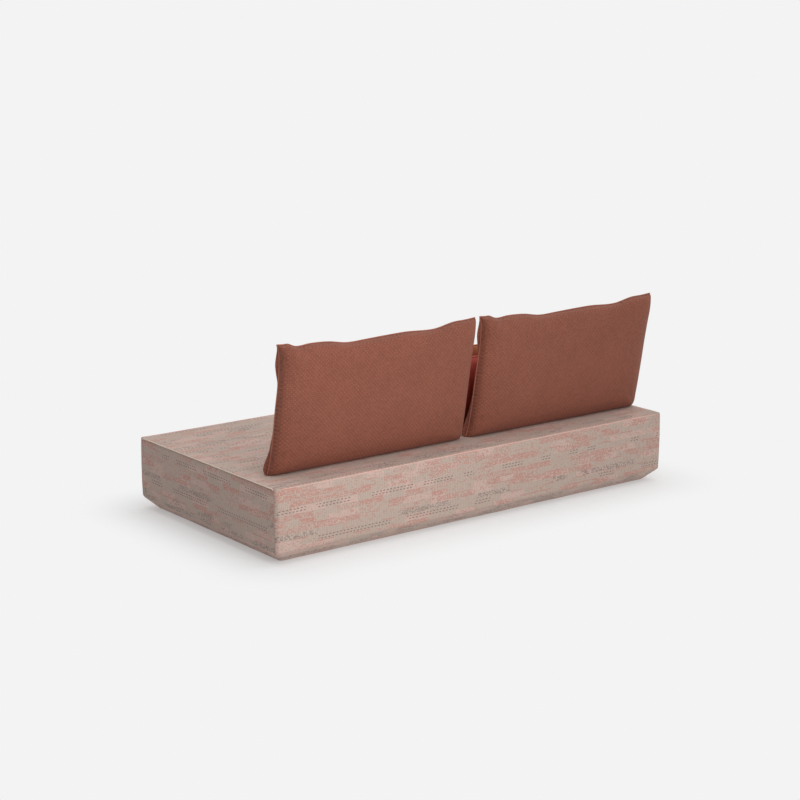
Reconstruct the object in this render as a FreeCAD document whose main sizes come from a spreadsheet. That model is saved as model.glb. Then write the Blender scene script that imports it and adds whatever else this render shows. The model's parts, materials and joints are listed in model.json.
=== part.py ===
import FreeCAD, Part
import math
import os
import re

# Sofa bed: a low upholstered block that sleeps one, with loose cushions for a back.
# Origin on the floor under the middle of the block; +X is the sitter's left, -Y the front, +Z up.

# Driving dimensions in millimetres, degrees and counts
SIZES = {
    # upholstered block
    "seat_length": 2000,
    "seat_depth": 1000,
    "seat_height": 300,
    "glide_height": 5,
    "bevel_height": 52,
    "bevel_inset": 58,
    "corner_radius": 14,
    "edge_radius": 11,
    "cover_thickness": 2,
    "cover_turnunder": 50,
    "end_seam_inset": 2,
    "wadding_thickness": 8,
    "topper_height": 40,
    "core_height": 112,
    "soft_gap": 0.3,
    # wooden frame
    "board_thickness": 18,
    "bevel_board_thickness": 15,
    "rail_width": 110,
    "rail_thickness": 18,
    "ledger_width": 20,
    "ledger_height": 30,
    "slat_width": 68,
    "slat_thickness": 8,
    "slat_count": 15,
    "slat_end_gap": 1,
    "bearer_thickness": 18,
    "bearer_slat_step": 4,
    "block_leg": 60,
    "block_height": 36,
    # fasteners, glides and underside cloth
    "screw_radius": 2,
    "screw_length": 50,
    "screw_head_radius": 4,
    "screw_head_height": 3,
    "screw_edge": 14,
    "screw_pitch": 17,
    "glide_radius": 20,
    "glide_edge": 2,
    "glide_end_inset": 200,
    "glides_per_rail": 4,
    "glide_screw_length": 17,
    "glide_screw_sink": 1,
    "dust_cover_thickness": 1,
    "dust_cover_overlap": 12,
    "dust_cover_hole_gap": 1,
    # back cushions
    "back_width": 948,
    "back_height": 516,
    "back_gap": 26,
    "back_shift": -39,
    "back_foot_inset": 188,
    "back_lean": 10,
    "back_front_crown": 135,
    "back_rear_crown": 27,
    "back_side_draw": 18,
    "back_top_draw": 18,
    "pillow_edge": 14,
    "pillow_edge_crown": 5,
    "pillow_wall": 2,
    "pillow_top_margin": 8,
    # what holds a back cushion upright
    "mat_length": 520,
    "mat_depth": 80,
    "mat_thickness": 4,
    "mat_setback": 15,
    "ballast_length": 600,
    "ballast_depth": 58,
    "ballast_thickness": 10,
    "ballast_setback": 22,
    "stay_width": 560,
    "stay_height": 400,
    "stay_foot": 55,
    "stay_thickness": 2,
    "rivet_radius": 3,
    "rivet_head_radius": 6,
    "rivet_head_height": 2,
    "rivet_count": 4,
    "rivet_spacing": 160,
    # zip under a back cushion
    "zip_length": 560,
    "zip_width": 6,
    "zip_setback": -8,
    "slider_length": 12,
    "slider_width": 8,
    "slider_height": 2.4,
    "slider_gap": 0.2,
    "pull_length": 20,
    "pull_width": 5,
    "pull_thickness": 1,
    # lumbar cushions
    "lumbar_width": 500,
    "lumbar_rear_height": 310,
    "lumbar_front_height": 326,
    "lumbar_thickness": 150,
    "lumbar_lean": 12,
    "lumbar_rear_x": -230,
    "lumbar_front_x": -480,
    "lumbar_side_draw": 14,
    "lumbar_top_draw": 8,
    "lumbar_gap": 1.5,
    "lumbar_foot_margin": 8,
}

doc = FreeCAD.newDocument("sofa_bed")
sheet = doc.addObject("Spreadsheet::Sheet", "sizes")
for row, (alias, value) in enumerate(SIZES.items(), start=1):
    sheet.set(f"A{row}", alias)
    sheet.set(f"B{row}", str(value))
    sheet.setAlias(f"B{row}", alias)
doc.recompute()

pieces = {}


def size(alias):
    """Number that the sheet holds under this alias."""
    return float(sheet.get(alias))


def bind(obj, prop, formula):
    """Tie a property to a formula, in which every word with an underscore is a cell of the sheet."""
    obj.setExpression(prop, re.sub(r"\b([a-z]+(?:_[a-z]+)+)\b", r"sizes.\1", formula))


def piece(node, obj):
    """Mark an object as a finished sub-part."""
    obj.Label = node
    pieces[node] = obj
    return obj


def slab(name, x, y, z):
    """Box between a low and a high formula on each axis."""
    box = doc.addObject("Part::Box", name)
    for prop, axis, (low, high) in (("Length", "x", x), ("Width", "y", y), ("Height", "z", z)):
        bind(box, prop, f"({high}) - ({low})")
        bind(box, f"Placement.Base.{axis}", low)
    return box


def both(formula):
    """Low and high formulas of a span centred on zero."""
    return f"-({formula})", formula


def group(name, solids):
    """Several separate solids as one object."""
    compound = doc.addObject("Part::Compound", name)
    compound.Links = solids
    return compound


def fuse(name, *solids):
    """Solids joined into one."""
    joined = doc.addObject("Part::MultiFuse", name)
    joined.Shapes = list(solids)
    return joined


def common(name, base, tool):
    """The part of base that lies inside tool."""
    shared = doc.addObject("Part::Common", name)
    shared.Base = base
    shared.Tool = tool
    return shared


def cut(name, base, *tools):
    """Base with each tool taken away in turn."""
    for number, tool in enumerate(tools, start=1):
        rest = doc.addObject("Part::Cut", name if number == len(tools) else f"{name}_less_{number}")
        rest.Base = base
        rest.Tool = tool
        base = rest
    return base


def solid_feature(name, shape, x=0.0, y=0.0, z=0.0, tilt=0.0):
    """Shape worked out from the sheet, leaned back by tilt degrees and put in its place."""
    feature = doc.addObject("Part::Feature", name)
    feature.Shape = shape
    lean = FreeCAD.Rotation(FreeCAD.Vector(1, 0, 0), -tilt)
    feature.Placement = FreeCAD.Placement(FreeCAD.Vector(x, y, z), lean)
    return feature


# Levels and faces of the seat block, as formulas
SLOPE = "(bevel_height / bevel_inset)"
SLANT = f"sqrt(1 + pow({SLOPE}; 2))"
WRAP = "(cover_thickness + wadding_thickness)"
FACE_X = f"(seat_length / 2 - {WRAP})"
FACE_Y = f"(seat_depth / 2 - {WRAP})"
INNER_X = f"({FACE_X} - board_thickness)"
INNER_Y = f"({FACE_Y} - board_thickness)"
BASE = "(glide_height + cover_thickness)"
RAIL_TOP = f"({BASE} + rail_thickness)"
CORE_TOP = f"(seat_height - {WRAP} - topper_height)"
SLAT_TOP = f"({CORE_TOP} - core_height)"
SLAT_SEAT = f"({SLAT_TOP} - slat_thickness)"
SLAT_PITCH = f"((2 * {INNER_X} - 2 * slat_end_gap - slat_width) / (slat_count - 1))"


def knee(inset):
    """Level where the slope meets the upright face of a layer this far in from the outside."""
    return f"(glide_height + bevel_height + ({inset}) * ({SLANT} - {SLOPE}))"


def inward(inset, level):
    """How far in from the outline the slope of such a layer lies at a level."""
    return f"((glide_height + bevel_height + ({inset}) * {SLANT} - ({level})) / {SLOPE})"


KNEE = knee(WRAP)
RAIL_EDGE_X = f"(seat_length / 2 - {inward(WRAP, BASE)} - rail_width)"
RAIL_EDGE_Y = f"(seat_depth / 2 - {inward(WRAP, BASE)} - rail_width)"


def shape_slope(wedge, inset, low, high):
    """Bind a wedge to a slice of the sloping underside between two levels."""
    wedge.Placement = FreeCAD.Placement(
        FreeCAD.Vector(0, 0, 0), FreeCAD.Rotation(FreeCAD.Vector(1, 0, 0), 90)
    )
    bind(wedge, "Ymin", low)
    bind(wedge, "Ymax", high)
    for tag, level in (("", low), ("2", high)):
        for axis, side in (("X", "seat_length"), ("Z", "seat_depth")):
            half = f"({side} / 2 - {inward(inset, level)})"
            bind(wedge, f"{axis}{tag}min", f"-{half}")
            bind(wedge, f"{axis}{tag}max", half)
    return wedge


def slope_slice(name, inset, low, high):
    """Frustum of the sloping underside."""
    return shape_slope(doc.addObject("Part::Wedge", name), inset, low, high)


def edges(shape, wanted):
    """Names of the edges that pass a test on the heights of their two ends."""
    ends = [(edge.Vertexes[0].Point.z, edge.Vertexes[-1].Point.z) for edge in shape.Edges]
    return [f"Edge{number}" for number, (low, high) in enumerate(ends, start=1) if wanted(low, high)]


def chamfered_block(name, inset, bottom):
    """Inner layer of the upholstery, whose chamfers lie just within the round corners of the outside."""
    body = doc.addObject("PartDesign::Body", name)
    foot = body.newObject("PartDesign::AdditiveWedge", f"{name}_foot")
    shape_slope(foot, inset, bottom, knee(inset))
    box = body.newObject("PartDesign::AdditiveBox", f"{name}_box")
    bind(box, "Length", f"seat_length - 2 * ({inset})")
    bind(box, "Width", f"seat_depth - 2 * ({inset})")
    bind(box, "Height", f"seat_height - ({inset}) - {knee(inset)}")
    bind(box, "Placement.Base.x", f"({inset}) - seat_length / 2")
    bind(box, "Placement.Base.y", f"({inset}) - seat_depth / 2")
    bind(box, "Placement.Base.z", knee(inset))
    doc.recompute()
    flat = 0.001
    top = box.Shape.BoundBox.ZMax
    corners = body.newObject("PartDesign::Chamfer", f"{name}_corners")
    corners.Base = (box, edges(box.Shape, lambda low, high: abs(low - high) > flat))
    bind(corners, "Size", f"(2 - sqrt(2)) * (corner_radius - ({inset}))")
    doc.recompute()
    brim = body.newObject("PartDesign::Chamfer", f"{name}_top_edges")
    brim.Base = (corners, edges(corners.Shape, lambda low, high: min(low, high) > top - flat))
    bind(brim, "Size", f"(2 - sqrt(2)) * (edge_radius - ({inset}))")
    doc.recompute()
    return body


def rounded_rectangle(half_x, half_y, radius, level):
    """Closed outline with round corners at a level."""
    arcs = []
    for turn, (side_x, side_y) in enumerate(((1, -1), (1, 1), (-1, 1), (-1, -1))):
        centre = FreeCAD.Vector(side_x * (half_x - radius), side_y * (half_y - radius), level)
        angles = [math.radians(90 * turn + step) for step in (-90, -45, 0)]
        arcs.append([centre + FreeCAD.Vector(math.cos(a), math.sin(a), 0) * radius for a in angles])
    sides = []
    for arc, following in zip(arcs, arcs[1:] + arcs[:1]):
        sides.append(Part.Arc(*arc).toShape())
        sides.append(Part.LineSegment(arc[-1], following[0]).toShape())
    return Part.Wire(sides)


def upholstered_block():
    """Outside of the sewn cover: an upright band with round corners and top edges on a sloping foot."""
    half_x, half_y = size("seat_length") / 2, size("seat_depth") / 2
    radius, low = size("corner_radius"), size("glide_height")
    brink = low + size("bevel_height")
    top = size("seat_height")
    slope = size("bevel_inset")
    waist = rounded_rectangle(half_x, half_y, radius, brink)
    sole = rounded_rectangle(half_x - slope, half_y - slope, radius, low)
    band = Part.Face(waist).extrude(FreeCAD.Vector(0, 0, top - brink))
    rim = [side for side in band.Edges if side.BoundBox.ZMin > (top + brink) / 2]
    return band.makeFillet(size("edge_radius"), rim).fuse(Part.makeLoft([sole, waist], True, True))


def mitre(name, side):
    """Half of the plan with 45 degree ends, for the pieces along one long side."""
    wedge = doc.addObject("Part::Wedge", name)
    narrow = "(seat_length / 2 - seat_depth / 2)"
    wide = "(seat_length / 2)"
    first, last = (narrow, wide) if side > 0 else (wide, narrow)
    for tag, half in (("", first), ("2", last)):
        bind(wedge, f"X{tag}min", f"-{half}")
        bind(wedge, f"X{tag}max", half)
        bind(wedge, f"Z{tag}min", "0")
        bind(wedge, f"Z{tag}max", "seat_height")
    bind(wedge, "Ymin", "0" if side > 0 else "-seat_depth / 2")
    bind(wedge, "Ymax", "seat_depth / 2" if side > 0 else "0")
    return wedge


front_half = mitre("front_half", -1)
back_half = mitre("back_half", 1)

FLANGE_X = "(seat_length / 2 - bevel_inset - cover_turnunder)"
FLANGE_Y = "(seat_depth / 2 - bevel_inset - cover_turnunder)"


def end_panel_reach(hand, side):
    """Space of a sewn-in end panel: the flat of the end face, its slope and what is turned under."""
    half = "(seat_depth / 2 - corner_radius - end_seam_inset)"
    brink = knee("0")
    inner, outer = "seat_length / 2 - 2 * cover_thickness", "seat_length / 2"
    span = (inner, outer) if side > 0 else (f"-({outer})", f"-({inner})")
    crest = "seat_height - edge_radius - end_seam_inset"
    face = slab(f"{hand}_end_face", span, both(half), (brink, crest))
    foot = doc.addObject("Part::Wedge", f"{hand}_end_foot")
    foot.Placement.Rotation = FreeCAD.Rotation(FreeCAD.Vector(0, 0, 1), -90 * side)
    bind(foot, "Ymin", FLANGE_X)
    bind(foot, "Ymax", "seat_length / 2")
    for tag, reach in (("", f"({half} - bevel_inset - cover_turnunder)"), ("2", half)):
        bind(foot, f"X{tag}min", f"-{reach}")
        bind(foot, f"X{tag}max", reach)
        bind(foot, f"Z{tag}min", "0")
        bind(foot, f"Z{tag}max", brink)
    return fuse(f"{hand}_end_reach", face, foot)


def add_cover():
    """Sewn cover: one cloth over the top and long sides, and a panel at each end."""
    skin = cut(
        "cover_skin",
        solid_feature("cover_outside", upholstered_block()),
        chamfered_block("cover_inside", "cover_thickness", BASE),
        slab("cover_opening", both(FLANGE_X), both(FLANGE_Y), ("0", BASE)),
    )
    reaches = {hand: end_panel_reach(hand, side) for hand, side in (("left", 1), ("right", -1))}
    for hand, reach in reaches.items():
        piece(f"seat_cover_end_{hand}", common(f"seat_cover_end_{hand}", skin, reach))
    piece("seat_cover_main", cut("seat_cover_main", skin, *reaches.values()))


def add_filling():
    """Wadding round everything, and the two foams of the mattress."""
    core = fuse(
        "wadding_inside",
        slope_slice("wadding_inside_foot", WRAP, BASE, KNEE),
        slab("wadding_inside_box", both(FACE_X), both(FACE_Y), (KNEE, f"seat_height - {WRAP}")),
    )
    outside = chamfered_block("wadding_outside", "(cover_thickness + soft_gap)", BASE)
    piece("seat_wadding", cut("seat_wadding", outside, core))
    topper = (CORE_TOP, f"seat_height - {WRAP}")
    piece("foam_topper", slab("foam_topper", both(FACE_X), both(FACE_Y), topper))
    piece("foam_core", slab("foam_core", both(FACE_X), both(FACE_Y), (SLAT_TOP, CORE_TOP)))


def screw(name, x, y, z, direction, length):
    """Countersunk screw with its flat head at a point, driven along a direction."""
    shank = doc.addObject("Part::Cylinder", f"{name}_shank")
    bind(shank, "Radius", "screw_radius")
    bind(shank, "Height", length)
    head = doc.addObject("Part::Cone", f"{name}_head")
    bind(head, "Radius1", "screw_head_radius")
    bind(head, "Radius2", "screw_radius")
    bind(head, "Height", "screw_head_height")
    for solid in (shank, head):
        turn = FreeCAD.Rotation(FreeCAD.Vector(0, 0, 1), FreeCAD.Vector(*direction))
        solid.Placement = FreeCAD.Placement(FreeCAD.Vector(0, 0, 0), turn)
        for axis, formula in (("x", x), ("y", y), ("z", z)):
            bind(solid, f"Placement.Base.{axis}", formula)
    return fuse(name, shank, head)


def bearer_places():
    """Middle of each cross bearer, under a slat."""
    return [f"({step} * bearer_slat_step * {SLAT_PITCH})" for step in (-1, 0, 1)]


def frame_screws():
    """Screws through the long boards into the end boards and the bearers, two at each joint."""
    end = f"({FACE_X} - board_thickness / 2)"
    levels = (f"{KNEE} + screw_edge", f"{KNEE} + screw_edge + screw_pitch")
    screws = []
    for side in (-1, 1):
        for x in (f"-{end}", *bearer_places(), end):
            for z in levels:
                name = f"frame_screw_{len(screws)}"
                screws.append(screw(name, x, f"{side} * {FACE_Y}", z, (0, -side, 0), "screw_length"))
    return piece("frame_screws", group("frame_screws", screws))


def add_upper_frame():
    """Boards, ledgers, slats, bearers and corner blocks."""
    screws = frame_screws()
    height = (KNEE, SLAT_TOP)
    low_ledger = f"({SLAT_SEAT} - ledger_height)"
    ledgers = []
    for hand, low, high, ledge in (
        ("front", f"-{FACE_Y}", f"-{INNER_Y}", (f"-{INNER_Y}", f"ledger_width - {INNER_Y}")),
        ("back", INNER_Y, FACE_Y, (f"{INNER_Y} - ledger_width", INNER_Y)),
    ):
        board = slab(f"{hand}_board", both(FACE_X), (low, high), height)
        piece(f"{hand}_side_board", cut(f"{hand}_side_board", board, screws))
        ledger = slab(f"{hand}_slat_ledger", both(INNER_X), ledge, (low_ledger, SLAT_SEAT))
        ledgers.append(piece(f"{hand}_slat_ledger", ledger))
    for hand, span in (("left", (INNER_X, FACE_X)), ("right", (f"-{FACE_X}", f"-{INNER_X}"))):
        board = slab(f"{hand}_board", span, both(INNER_Y), height)
        piece(f"{hand}_end_board", cut(f"{hand}_end_board", board, screws))

    slats = []
    for number in range(int(size("slat_count"))):
        low = f"(slat_end_gap - {INNER_X} + {number} * {SLAT_PITCH})"
        span = (low, f"{low} + slat_width")
        slats.append(slab(f"slat_{number}", span, both(f"{INNER_Y} - slat_end_gap"), (SLAT_SEAT, SLAT_TOP)))
    piece("slats", group("slats", slats))

    bearers = []
    for number, middle in enumerate(bearer_places()):
        span = (f"{middle} - bearer_thickness / 2", f"{middle} + bearer_thickness / 2")
        bearers.append(slab(f"bearer_{number}", span, both(INNER_Y), (RAIL_TOP, SLAT_SEAT)))
    inside = fuse(
        "bearer_space",
        slope_slice("bearer_space_foot", f"({WRAP} + bevel_board_thickness)", RAIL_TOP, KNEE),
        slab("bearer_space_box", both(INNER_X), both(INNER_Y), (KNEE, SLAT_SEAT)),
    )
    planks = common("bearer_planks", group("bearer_blanks", bearers), inside)
    piece("cross_bearers", cut("cross_bearers", planks, *ledgers, screws))

    blocks = []
    for turn in (0, 180):
        for side in (-1, 1):
            blocks.append(corner_block(f"corner_block_{len(blocks)}", side, turn))
    piece("corner_blocks", group("corner_blocks", blocks))


def corner_block(name, side, turn):
    """Triangular glue block in a front corner of the upper frame, or turned round to a back corner."""
    block = doc.addObject("Part::Wedge", name)
    block.Placement.Rotation = FreeCAD.Rotation(FreeCAD.Vector(0, 0, 1), turn)
    near, far = f"{side} * {INNER_X}", f"{side} * ({INNER_X} - block_leg)"
    low, high = (near, far) if side < 0 else (far, near)
    for prop, formula in (("Xmin", low), ("Xmax", high), ("X2min", near), ("X2max", near)):
        bind(block, prop, formula)
    for tag in ("", "2"):
        bind(block, f"Z{tag}min", KNEE)
        bind(block, f"Z{tag}max", f"{KNEE} + block_height")
    bind(block, "Ymin", f"-{INNER_Y}")
    bind(block, "Ymax", f"block_leg - {INNER_Y}")
    return block


def add_lower_frame():
    """Mitred bevel boards on a flat plinth of rails."""
    ring = cut(
        "bevel_ring",
        slope_slice("bevel_outside", WRAP, RAIL_TOP, KNEE),
        slope_slice("bevel_inside", f"({WRAP} + bevel_board_thickness)", RAIL_TOP, KNEE),
    )
    piece("front_bevel_board", common("front_bevel_board", ring, front_half))
    piece("back_bevel_board", common("back_bevel_board", ring, back_half))
    for hand, side in (("left", 1), ("right", -1)):
        span = ("0", "seat_length / 2") if side > 0 else ("-seat_length / 2", "0")
        end = slab(f"{hand}_bevel_end", span, both("seat_depth / 2"), (RAIL_TOP, KNEE))
        blank = common(f"{hand}_bevel_blank", ring, end)
        piece(f"{hand}_bevel_board", cut(f"{hand}_bevel_board", blank, front_half, back_half))

    screws = glide_screws()
    plinth = cut("plinth_drilled", slope_slice("plinth", WRAP, BASE, RAIL_TOP), screws)
    level = (BASE, RAIL_TOP)
    half_x, half_y = "seat_length / 2", "seat_depth / 2"
    spans = {
        "front": (both(half_x), (f"-{half_y}", f"-{RAIL_EDGE_Y}")),
        "back": (both(half_x), (RAIL_EDGE_Y, half_y)),
        "left": ((RAIL_EDGE_X, half_x), both(RAIL_EDGE_Y)),
        "right": ((f"-{half_x}", f"-{RAIL_EDGE_X}"), both(RAIL_EDGE_Y)),
        "centre": (both(RAIL_EDGE_X), both("rail_width / 2")),
    }
    for hand, (x, y) in spans.items():
        reach = slab(f"{hand}_rail_reach", x, y, level)
        piece(f"{hand}_plinth_rail", common(f"{hand}_plinth_rail", plinth, reach))
    add_glides(screws)


DUST_X = f"({RAIL_EDGE_X} + dust_cover_overlap)"
DUST_Y = f"({RAIL_EDGE_Y} + dust_cover_overlap)"


def glide_places():
    """Middle of each glide: a row on each long rail, on the bare wood, and a pair on the centre rail."""
    count = int(size("glides_per_rail"))
    spacing = "((seat_length - 2 * glide_end_inset) / (glides_per_rail - 1))"
    row = [f"({number - (count - 1) / 2} * {spacing})" for number in range(count)]
    bare_wood = f"(({DUST_Y} + {FLANGE_Y}) / 2)"
    places = [(x, f"{side} * {bare_wood}") for side in (-1, 1) for x in row]
    return places + [(f"{side} * {spacing} / 2", "0") for side in (-1, 1)]


def glide_screws():
    """One screw up through the middle of each glide."""
    screws = []
    for number, (x, y) in enumerate(glide_places()):
        name = f"glide_screw_{number}"
        screws.append(screw(name, x, y, "glide_screw_sink", (0, 0, 1), "glide_screw_length"))
    return piece("glide_screws", group("glide_screws", screws))


def disc(name, shape, x, y, low, height, *radii):
    """Cylinder or cone standing at a point."""
    solid = doc.addObject(f"Part::{shape}", name)
    props = ("Radius",) if shape == "Cylinder" else ("Radius1", "Radius2")
    for prop, radius in zip(props, radii):
        bind(solid, prop, radius)
    bind(solid, "Height", height)
    for axis, formula in (("x", x), ("y", y), ("z", low)):
        bind(solid, f"Placement.Base.{axis}", formula)
    return solid


def add_glides(screws):
    """Plastic glides with a bevelled sole and a sunk screw, and the cloth between the rails."""
    glides, holes = [], []
    for number, (x, y) in enumerate(glide_places()):
        tag = f"glide_{number}"
        radii = ("glide_radius - glide_edge", "glide_radius")
        sole = disc(f"{tag}_sole", "Cone", x, y, "0", "glide_edge", *radii)
        puck = disc(f"{tag}_puck", "Cylinder", x, y, "glide_edge", f"{BASE} - glide_edge", "glide_radius")
        well = disc(f"{tag}_well", "Cylinder", x, y, "0", "glide_screw_sink", "screw_head_radius")
        glides.append(cut(tag, fuse(f"{tag}_blank", sole, puck), well, screws))
        clear = "glide_radius + dust_cover_hole_gap"
        holes.append(disc(f"{tag}_dust_hole", "Cylinder", x, y, "0", BASE, clear))
    piece("glides", group("glides", glides))
    cloth = slab("dust_cloth", both(DUST_X), both(DUST_Y), (f"{BASE} - dust_cover_thickness", BASE))
    piece("dust_cover", cut("dust_cover", cloth, group("dust_holes", holes)))


# Share of the height at which the outlines of a cushion are drawn
BACK_STEPS = (0, 0.2, 0.4, 0.6, 0.8, 0.93, 1)
LUMBAR_STEPS = (0, 0.1, 0.3, 0.5, 0.7, 0.9, 1)
# Power of the curve by which a back cushion thins towards its top
BACK_TAPER = 1.6

deck = size("seat_height")
edge = size("pillow_edge")
wall = size("pillow_wall")
foot_y = size("seat_depth") / 2 - size("back_foot_inset")
back_centres = {
    "left": size("back_shift") + (size("back_width") + size("back_gap")) / 2,
    "right": size("back_shift") - (size("back_width") + size("back_gap")) / 2,
}


def outline(level, half, seam, thickness, front, back):
    """Closed outline of a pillow at one level: bowed front, straight end, bowed back, straight end."""
    near, far = seam - thickness / 2, seam + thickness / 2
    corners = [
        FreeCAD.Vector(-half, near, level),
        FreeCAD.Vector(half, near, level),
        FreeCAD.Vector(half, far, level),
        FreeCAD.Vector(-half, far, level),
    ]
    front_arc = Part.Arc(corners[0], FreeCAD.Vector(0, near - front, level), corners[1])
    back_arc = Part.Arc(corners[2], FreeCAD.Vector(0, far + back, level), corners[3])
    sides = [
        front_arc,
        Part.LineSegment(corners[1], corners[2]),
        back_arc,
        Part.LineSegment(corners[3], corners[0]),
    ]
    return Part.Wire([side.toShape() for side in sides])


def bow(across, half, crown):
    """Height of a circular arc over its chord, at a distance from the middle."""
    radius = (half**2 + crown**2) / (2 * crown)
    return math.sqrt(radius**2 - across**2) - (radius - crown)


def drawn_in(share):
    """How much of the greatest drawing-in an edge has at a share of its length."""
    return 4 * share * (1 - share)


def swell(crown, share):
    """Crown of a pillow where its thickness has this share of the greatest one."""
    least = size("pillow_edge_crown")
    return least + (crown - least) * share


def back_form(level):
    """Half width, seam place, front crown and rear crown of a back cushion at a level."""
    share = (level - deck) / size("back_height")
    fullness = math.sqrt(max(0.0, 1 - share**BACK_TAPER))
    half = size("back_width") / 2 - size("back_side_draw") * drawn_in(share)
    seam = foot_y + (level - deck) * math.tan(math.radians(size("back_lean")))
    front = swell(size("back_front_crown"), fullness)
    return half, seam, front, swell(size("back_rear_crown"), fullness)


def back_loft(inset, low, high):
    """Back cushion between two levels, set in all round."""
    wires = []
    for step in BACK_STEPS:
        level = low + (high - low) * step
        half, seam, front, back = back_form(level)
        wires.append(outline(level, half - inset, seam, edge - 2 * inset, front, back))
    return Part.makeLoft(wires, True)


def top_scoop(width, draw, top, reach):
    """Wide cylinder whose lower side draws the top edge of a pillow in between its corners."""
    radius = ((width / 2) ** 2 + draw**2) / (2 * draw)
    base = FreeCAD.Vector(0, -reach, top + radius - draw)
    return Part.makeCylinder(radius, 2 * reach, base, FreeCAD.Vector(0, 1, 0))


def add_back_cushion(hand, x):
    """Loose back cushion: sewn cover with a zip below, filling, steel stay, ballast and grip mat."""
    name = f"back_cushion_{hand}"
    sole = deck + size("mat_thickness")
    top = deck + size("back_height")
    scoop = top_scoop(size("back_width"), size("back_top_draw"), top, size("seat_depth"))
    hollow_top = top - size("back_top_draw") - size("pillow_top_margin")
    stuffed = wall + size("soft_gap")
    outside = solid_feature(f"{name}_outside", back_loft(0, sole, top).cut(scoop), x)
    hollow = solid_feature(f"{name}_hollow", back_loft(wall, sole + wall, hollow_top), x)
    stuffing = solid_feature(
        f"{name}_stuffing", back_loft(stuffed, sole + wall, hollow_top - size("soft_gap")), x
    )

    plane = "(seat_depth / 2 - back_foot_inset)"
    floor = "(seat_height + mat_thickness)"
    inner_floor = f"({floor} + pillow_wall)"
    centre = f"(back_shift + {1 if x > size('back_shift') else -1} * (back_width + back_gap) / 2)"

    def span(length):
        return f"{centre} - ({length}) / 2", f"{centre} + ({length}) / 2"

    def plate(suffix, length, depth, back, low, high):
        """Flat piece that ends at a line along the foot of the cushion."""
        return slab(f"{name}_{suffix}", span(length), (f"{back} - {depth}", back), (low, high))

    mat_back = f"({plane} - mat_setback)"
    piece(f"{name}_grip_mat", plate("grip_mat", "mat_length", "mat_depth", mat_back, "seat_height", floor))

    zip_middle = f"({plane} - zip_setback)"
    zip_back = f"({zip_middle} + zip_width / 2)"
    tape = piece(f"{name}_zip", plate("zip", "zip_length", "zip_width", zip_back, floor, inner_floor))
    piece(f"{name}_cover", cut(f"{name}_cover", outside, hollow, tape))
    add_slider(name, f"({span('zip_length')[0]})", zip_middle, floor)

    foot_back = f"({plane} - ballast_setback)"
    bar_top = f"({inner_floor} + ballast_thickness)"
    foot_top = f"({bar_top} + stay_thickness)"
    bar = plate("bar", "ballast_length", "ballast_depth", foot_back, inner_floor, bar_top)
    foot = plate("stay_foot", "stay_width", "stay_foot", foot_back, bar_top, foot_top)
    blade = plate(
        "stay_blade", "stay_width", "stay_thickness", foot_back,
        f"({bar_top} + stay_thickness / 2)", f"({bar_top} + stay_height)",
    )
    blade.Placement.Rotation = FreeCAD.Rotation(FreeCAD.Vector(-1, 0, 0), size("back_lean"))
    bind(blade, "Placement.Rotation.Angle", "back_lean")

    rivets = []
    count = int(size("rivet_count"))
    row = f"({foot_back} - stay_foot / 2)"
    for number in range(count):
        x_pin = f"({centre} + {number - (count - 1) / 2} * rivet_spacing)"
        tag = f"{name}_rivet_{number}"
        reach = f"{foot_top} - {inner_floor}"
        shank = disc(f"{tag}_shank", "Cylinder", x_pin, row, inner_floor, reach, "rivet_radius")
        radii = ("rivet_head_radius", "rivet_radius")
        head = disc(f"{tag}_head", "Cone", x_pin, row, foot_top, "rivet_head_height", *radii)
        rivets.append(fuse(tag, shank, head))
    pins = piece(f"{name}_rivets", group(f"{name}_rivets", rivets))
    stay = piece(f"{name}_stay", cut(f"{name}_stay", fuse(f"{name}_stay_blank", foot, blade), pins))
    ballast = piece(f"{name}_ballast", cut(f"{name}_ballast", bar, pins))
    piece(f"{name}_filling", cut(f"{name}_filling", stuffing, ballast, stay, pins))


def add_slider(name, start, middle, floor):
    """Zip slider with a flat pull, at the closed end of the zip."""
    top = f"({floor} - slider_gap)"
    low = f"({top} - slider_height)"
    block = slab(
        f"{name}_slider_block",
        (start, f"{start} + slider_length"),
        (f"{middle} - slider_width / 2", f"{middle} + slider_width / 2"),
        (low, top),
    )
    pull = slab(
        f"{name}_slider_pull",
        (start, f"{start} + pull_length"),
        (f"{middle} - pull_width / 2", f"{middle} + pull_width / 2"),
        (f"{low} - pull_thickness", low),
    )
    piece(f"{name}_zip_slider", fuse(f"{name}_zip_slider", block, pull))


def lumbar_form(height, tall):
    """Half width and crown of a lumbar cushion of some height, at a height along its lean."""
    share = height / tall
    half = size("lumbar_width") / 2 - size("lumbar_side_draw") * drawn_in(share)
    fullness = math.sqrt(drawn_in(share))
    return half, swell((size("lumbar_thickness") - edge) / 2, fullness)


def lumbar_loft(inset, low, high, tall):
    """Lumbar cushion between two heights, set in all round."""
    wires = []
    for step in LUMBAR_STEPS:
        height = low + (high - low) * step
        half, crown = lumbar_form(height, tall)
        wires.append(outline(height, half - inset, 0, edge - 2 * inset, crown, crown))
    return Part.makeLoft(wires, True)


def steps(low, high, count):
    """Evenly spaced values from low to high."""
    return [low + (high - low) * number / count for number in range(count + 1)]


def back_front_face(x, level):
    """Front of the back cushions at a point, or none where no cushion stands."""
    faces = []
    for centre in back_centres.values():
        half, seam, front, _ = back_form(level)
        if abs(x - centre) < half:
            faces.append(seam - edge / 2 - bow(x - centre, half, front))
    return min(faces, default=None)


def lumbar_half_thickness(across, height, tall):
    """Half thickness of a lumbar cushion at a distance from its middle."""
    half, crown = lumbar_form(height, tall)
    return edge / 2 + bow(across, half, crown) if abs(across) < half else 0.0


lumbar_tilt = math.radians(size("lumbar_lean"))
rear_tall, front_tall = size("lumbar_rear_height"), size("lumbar_front_height")
SAMPLES = 60


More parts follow.
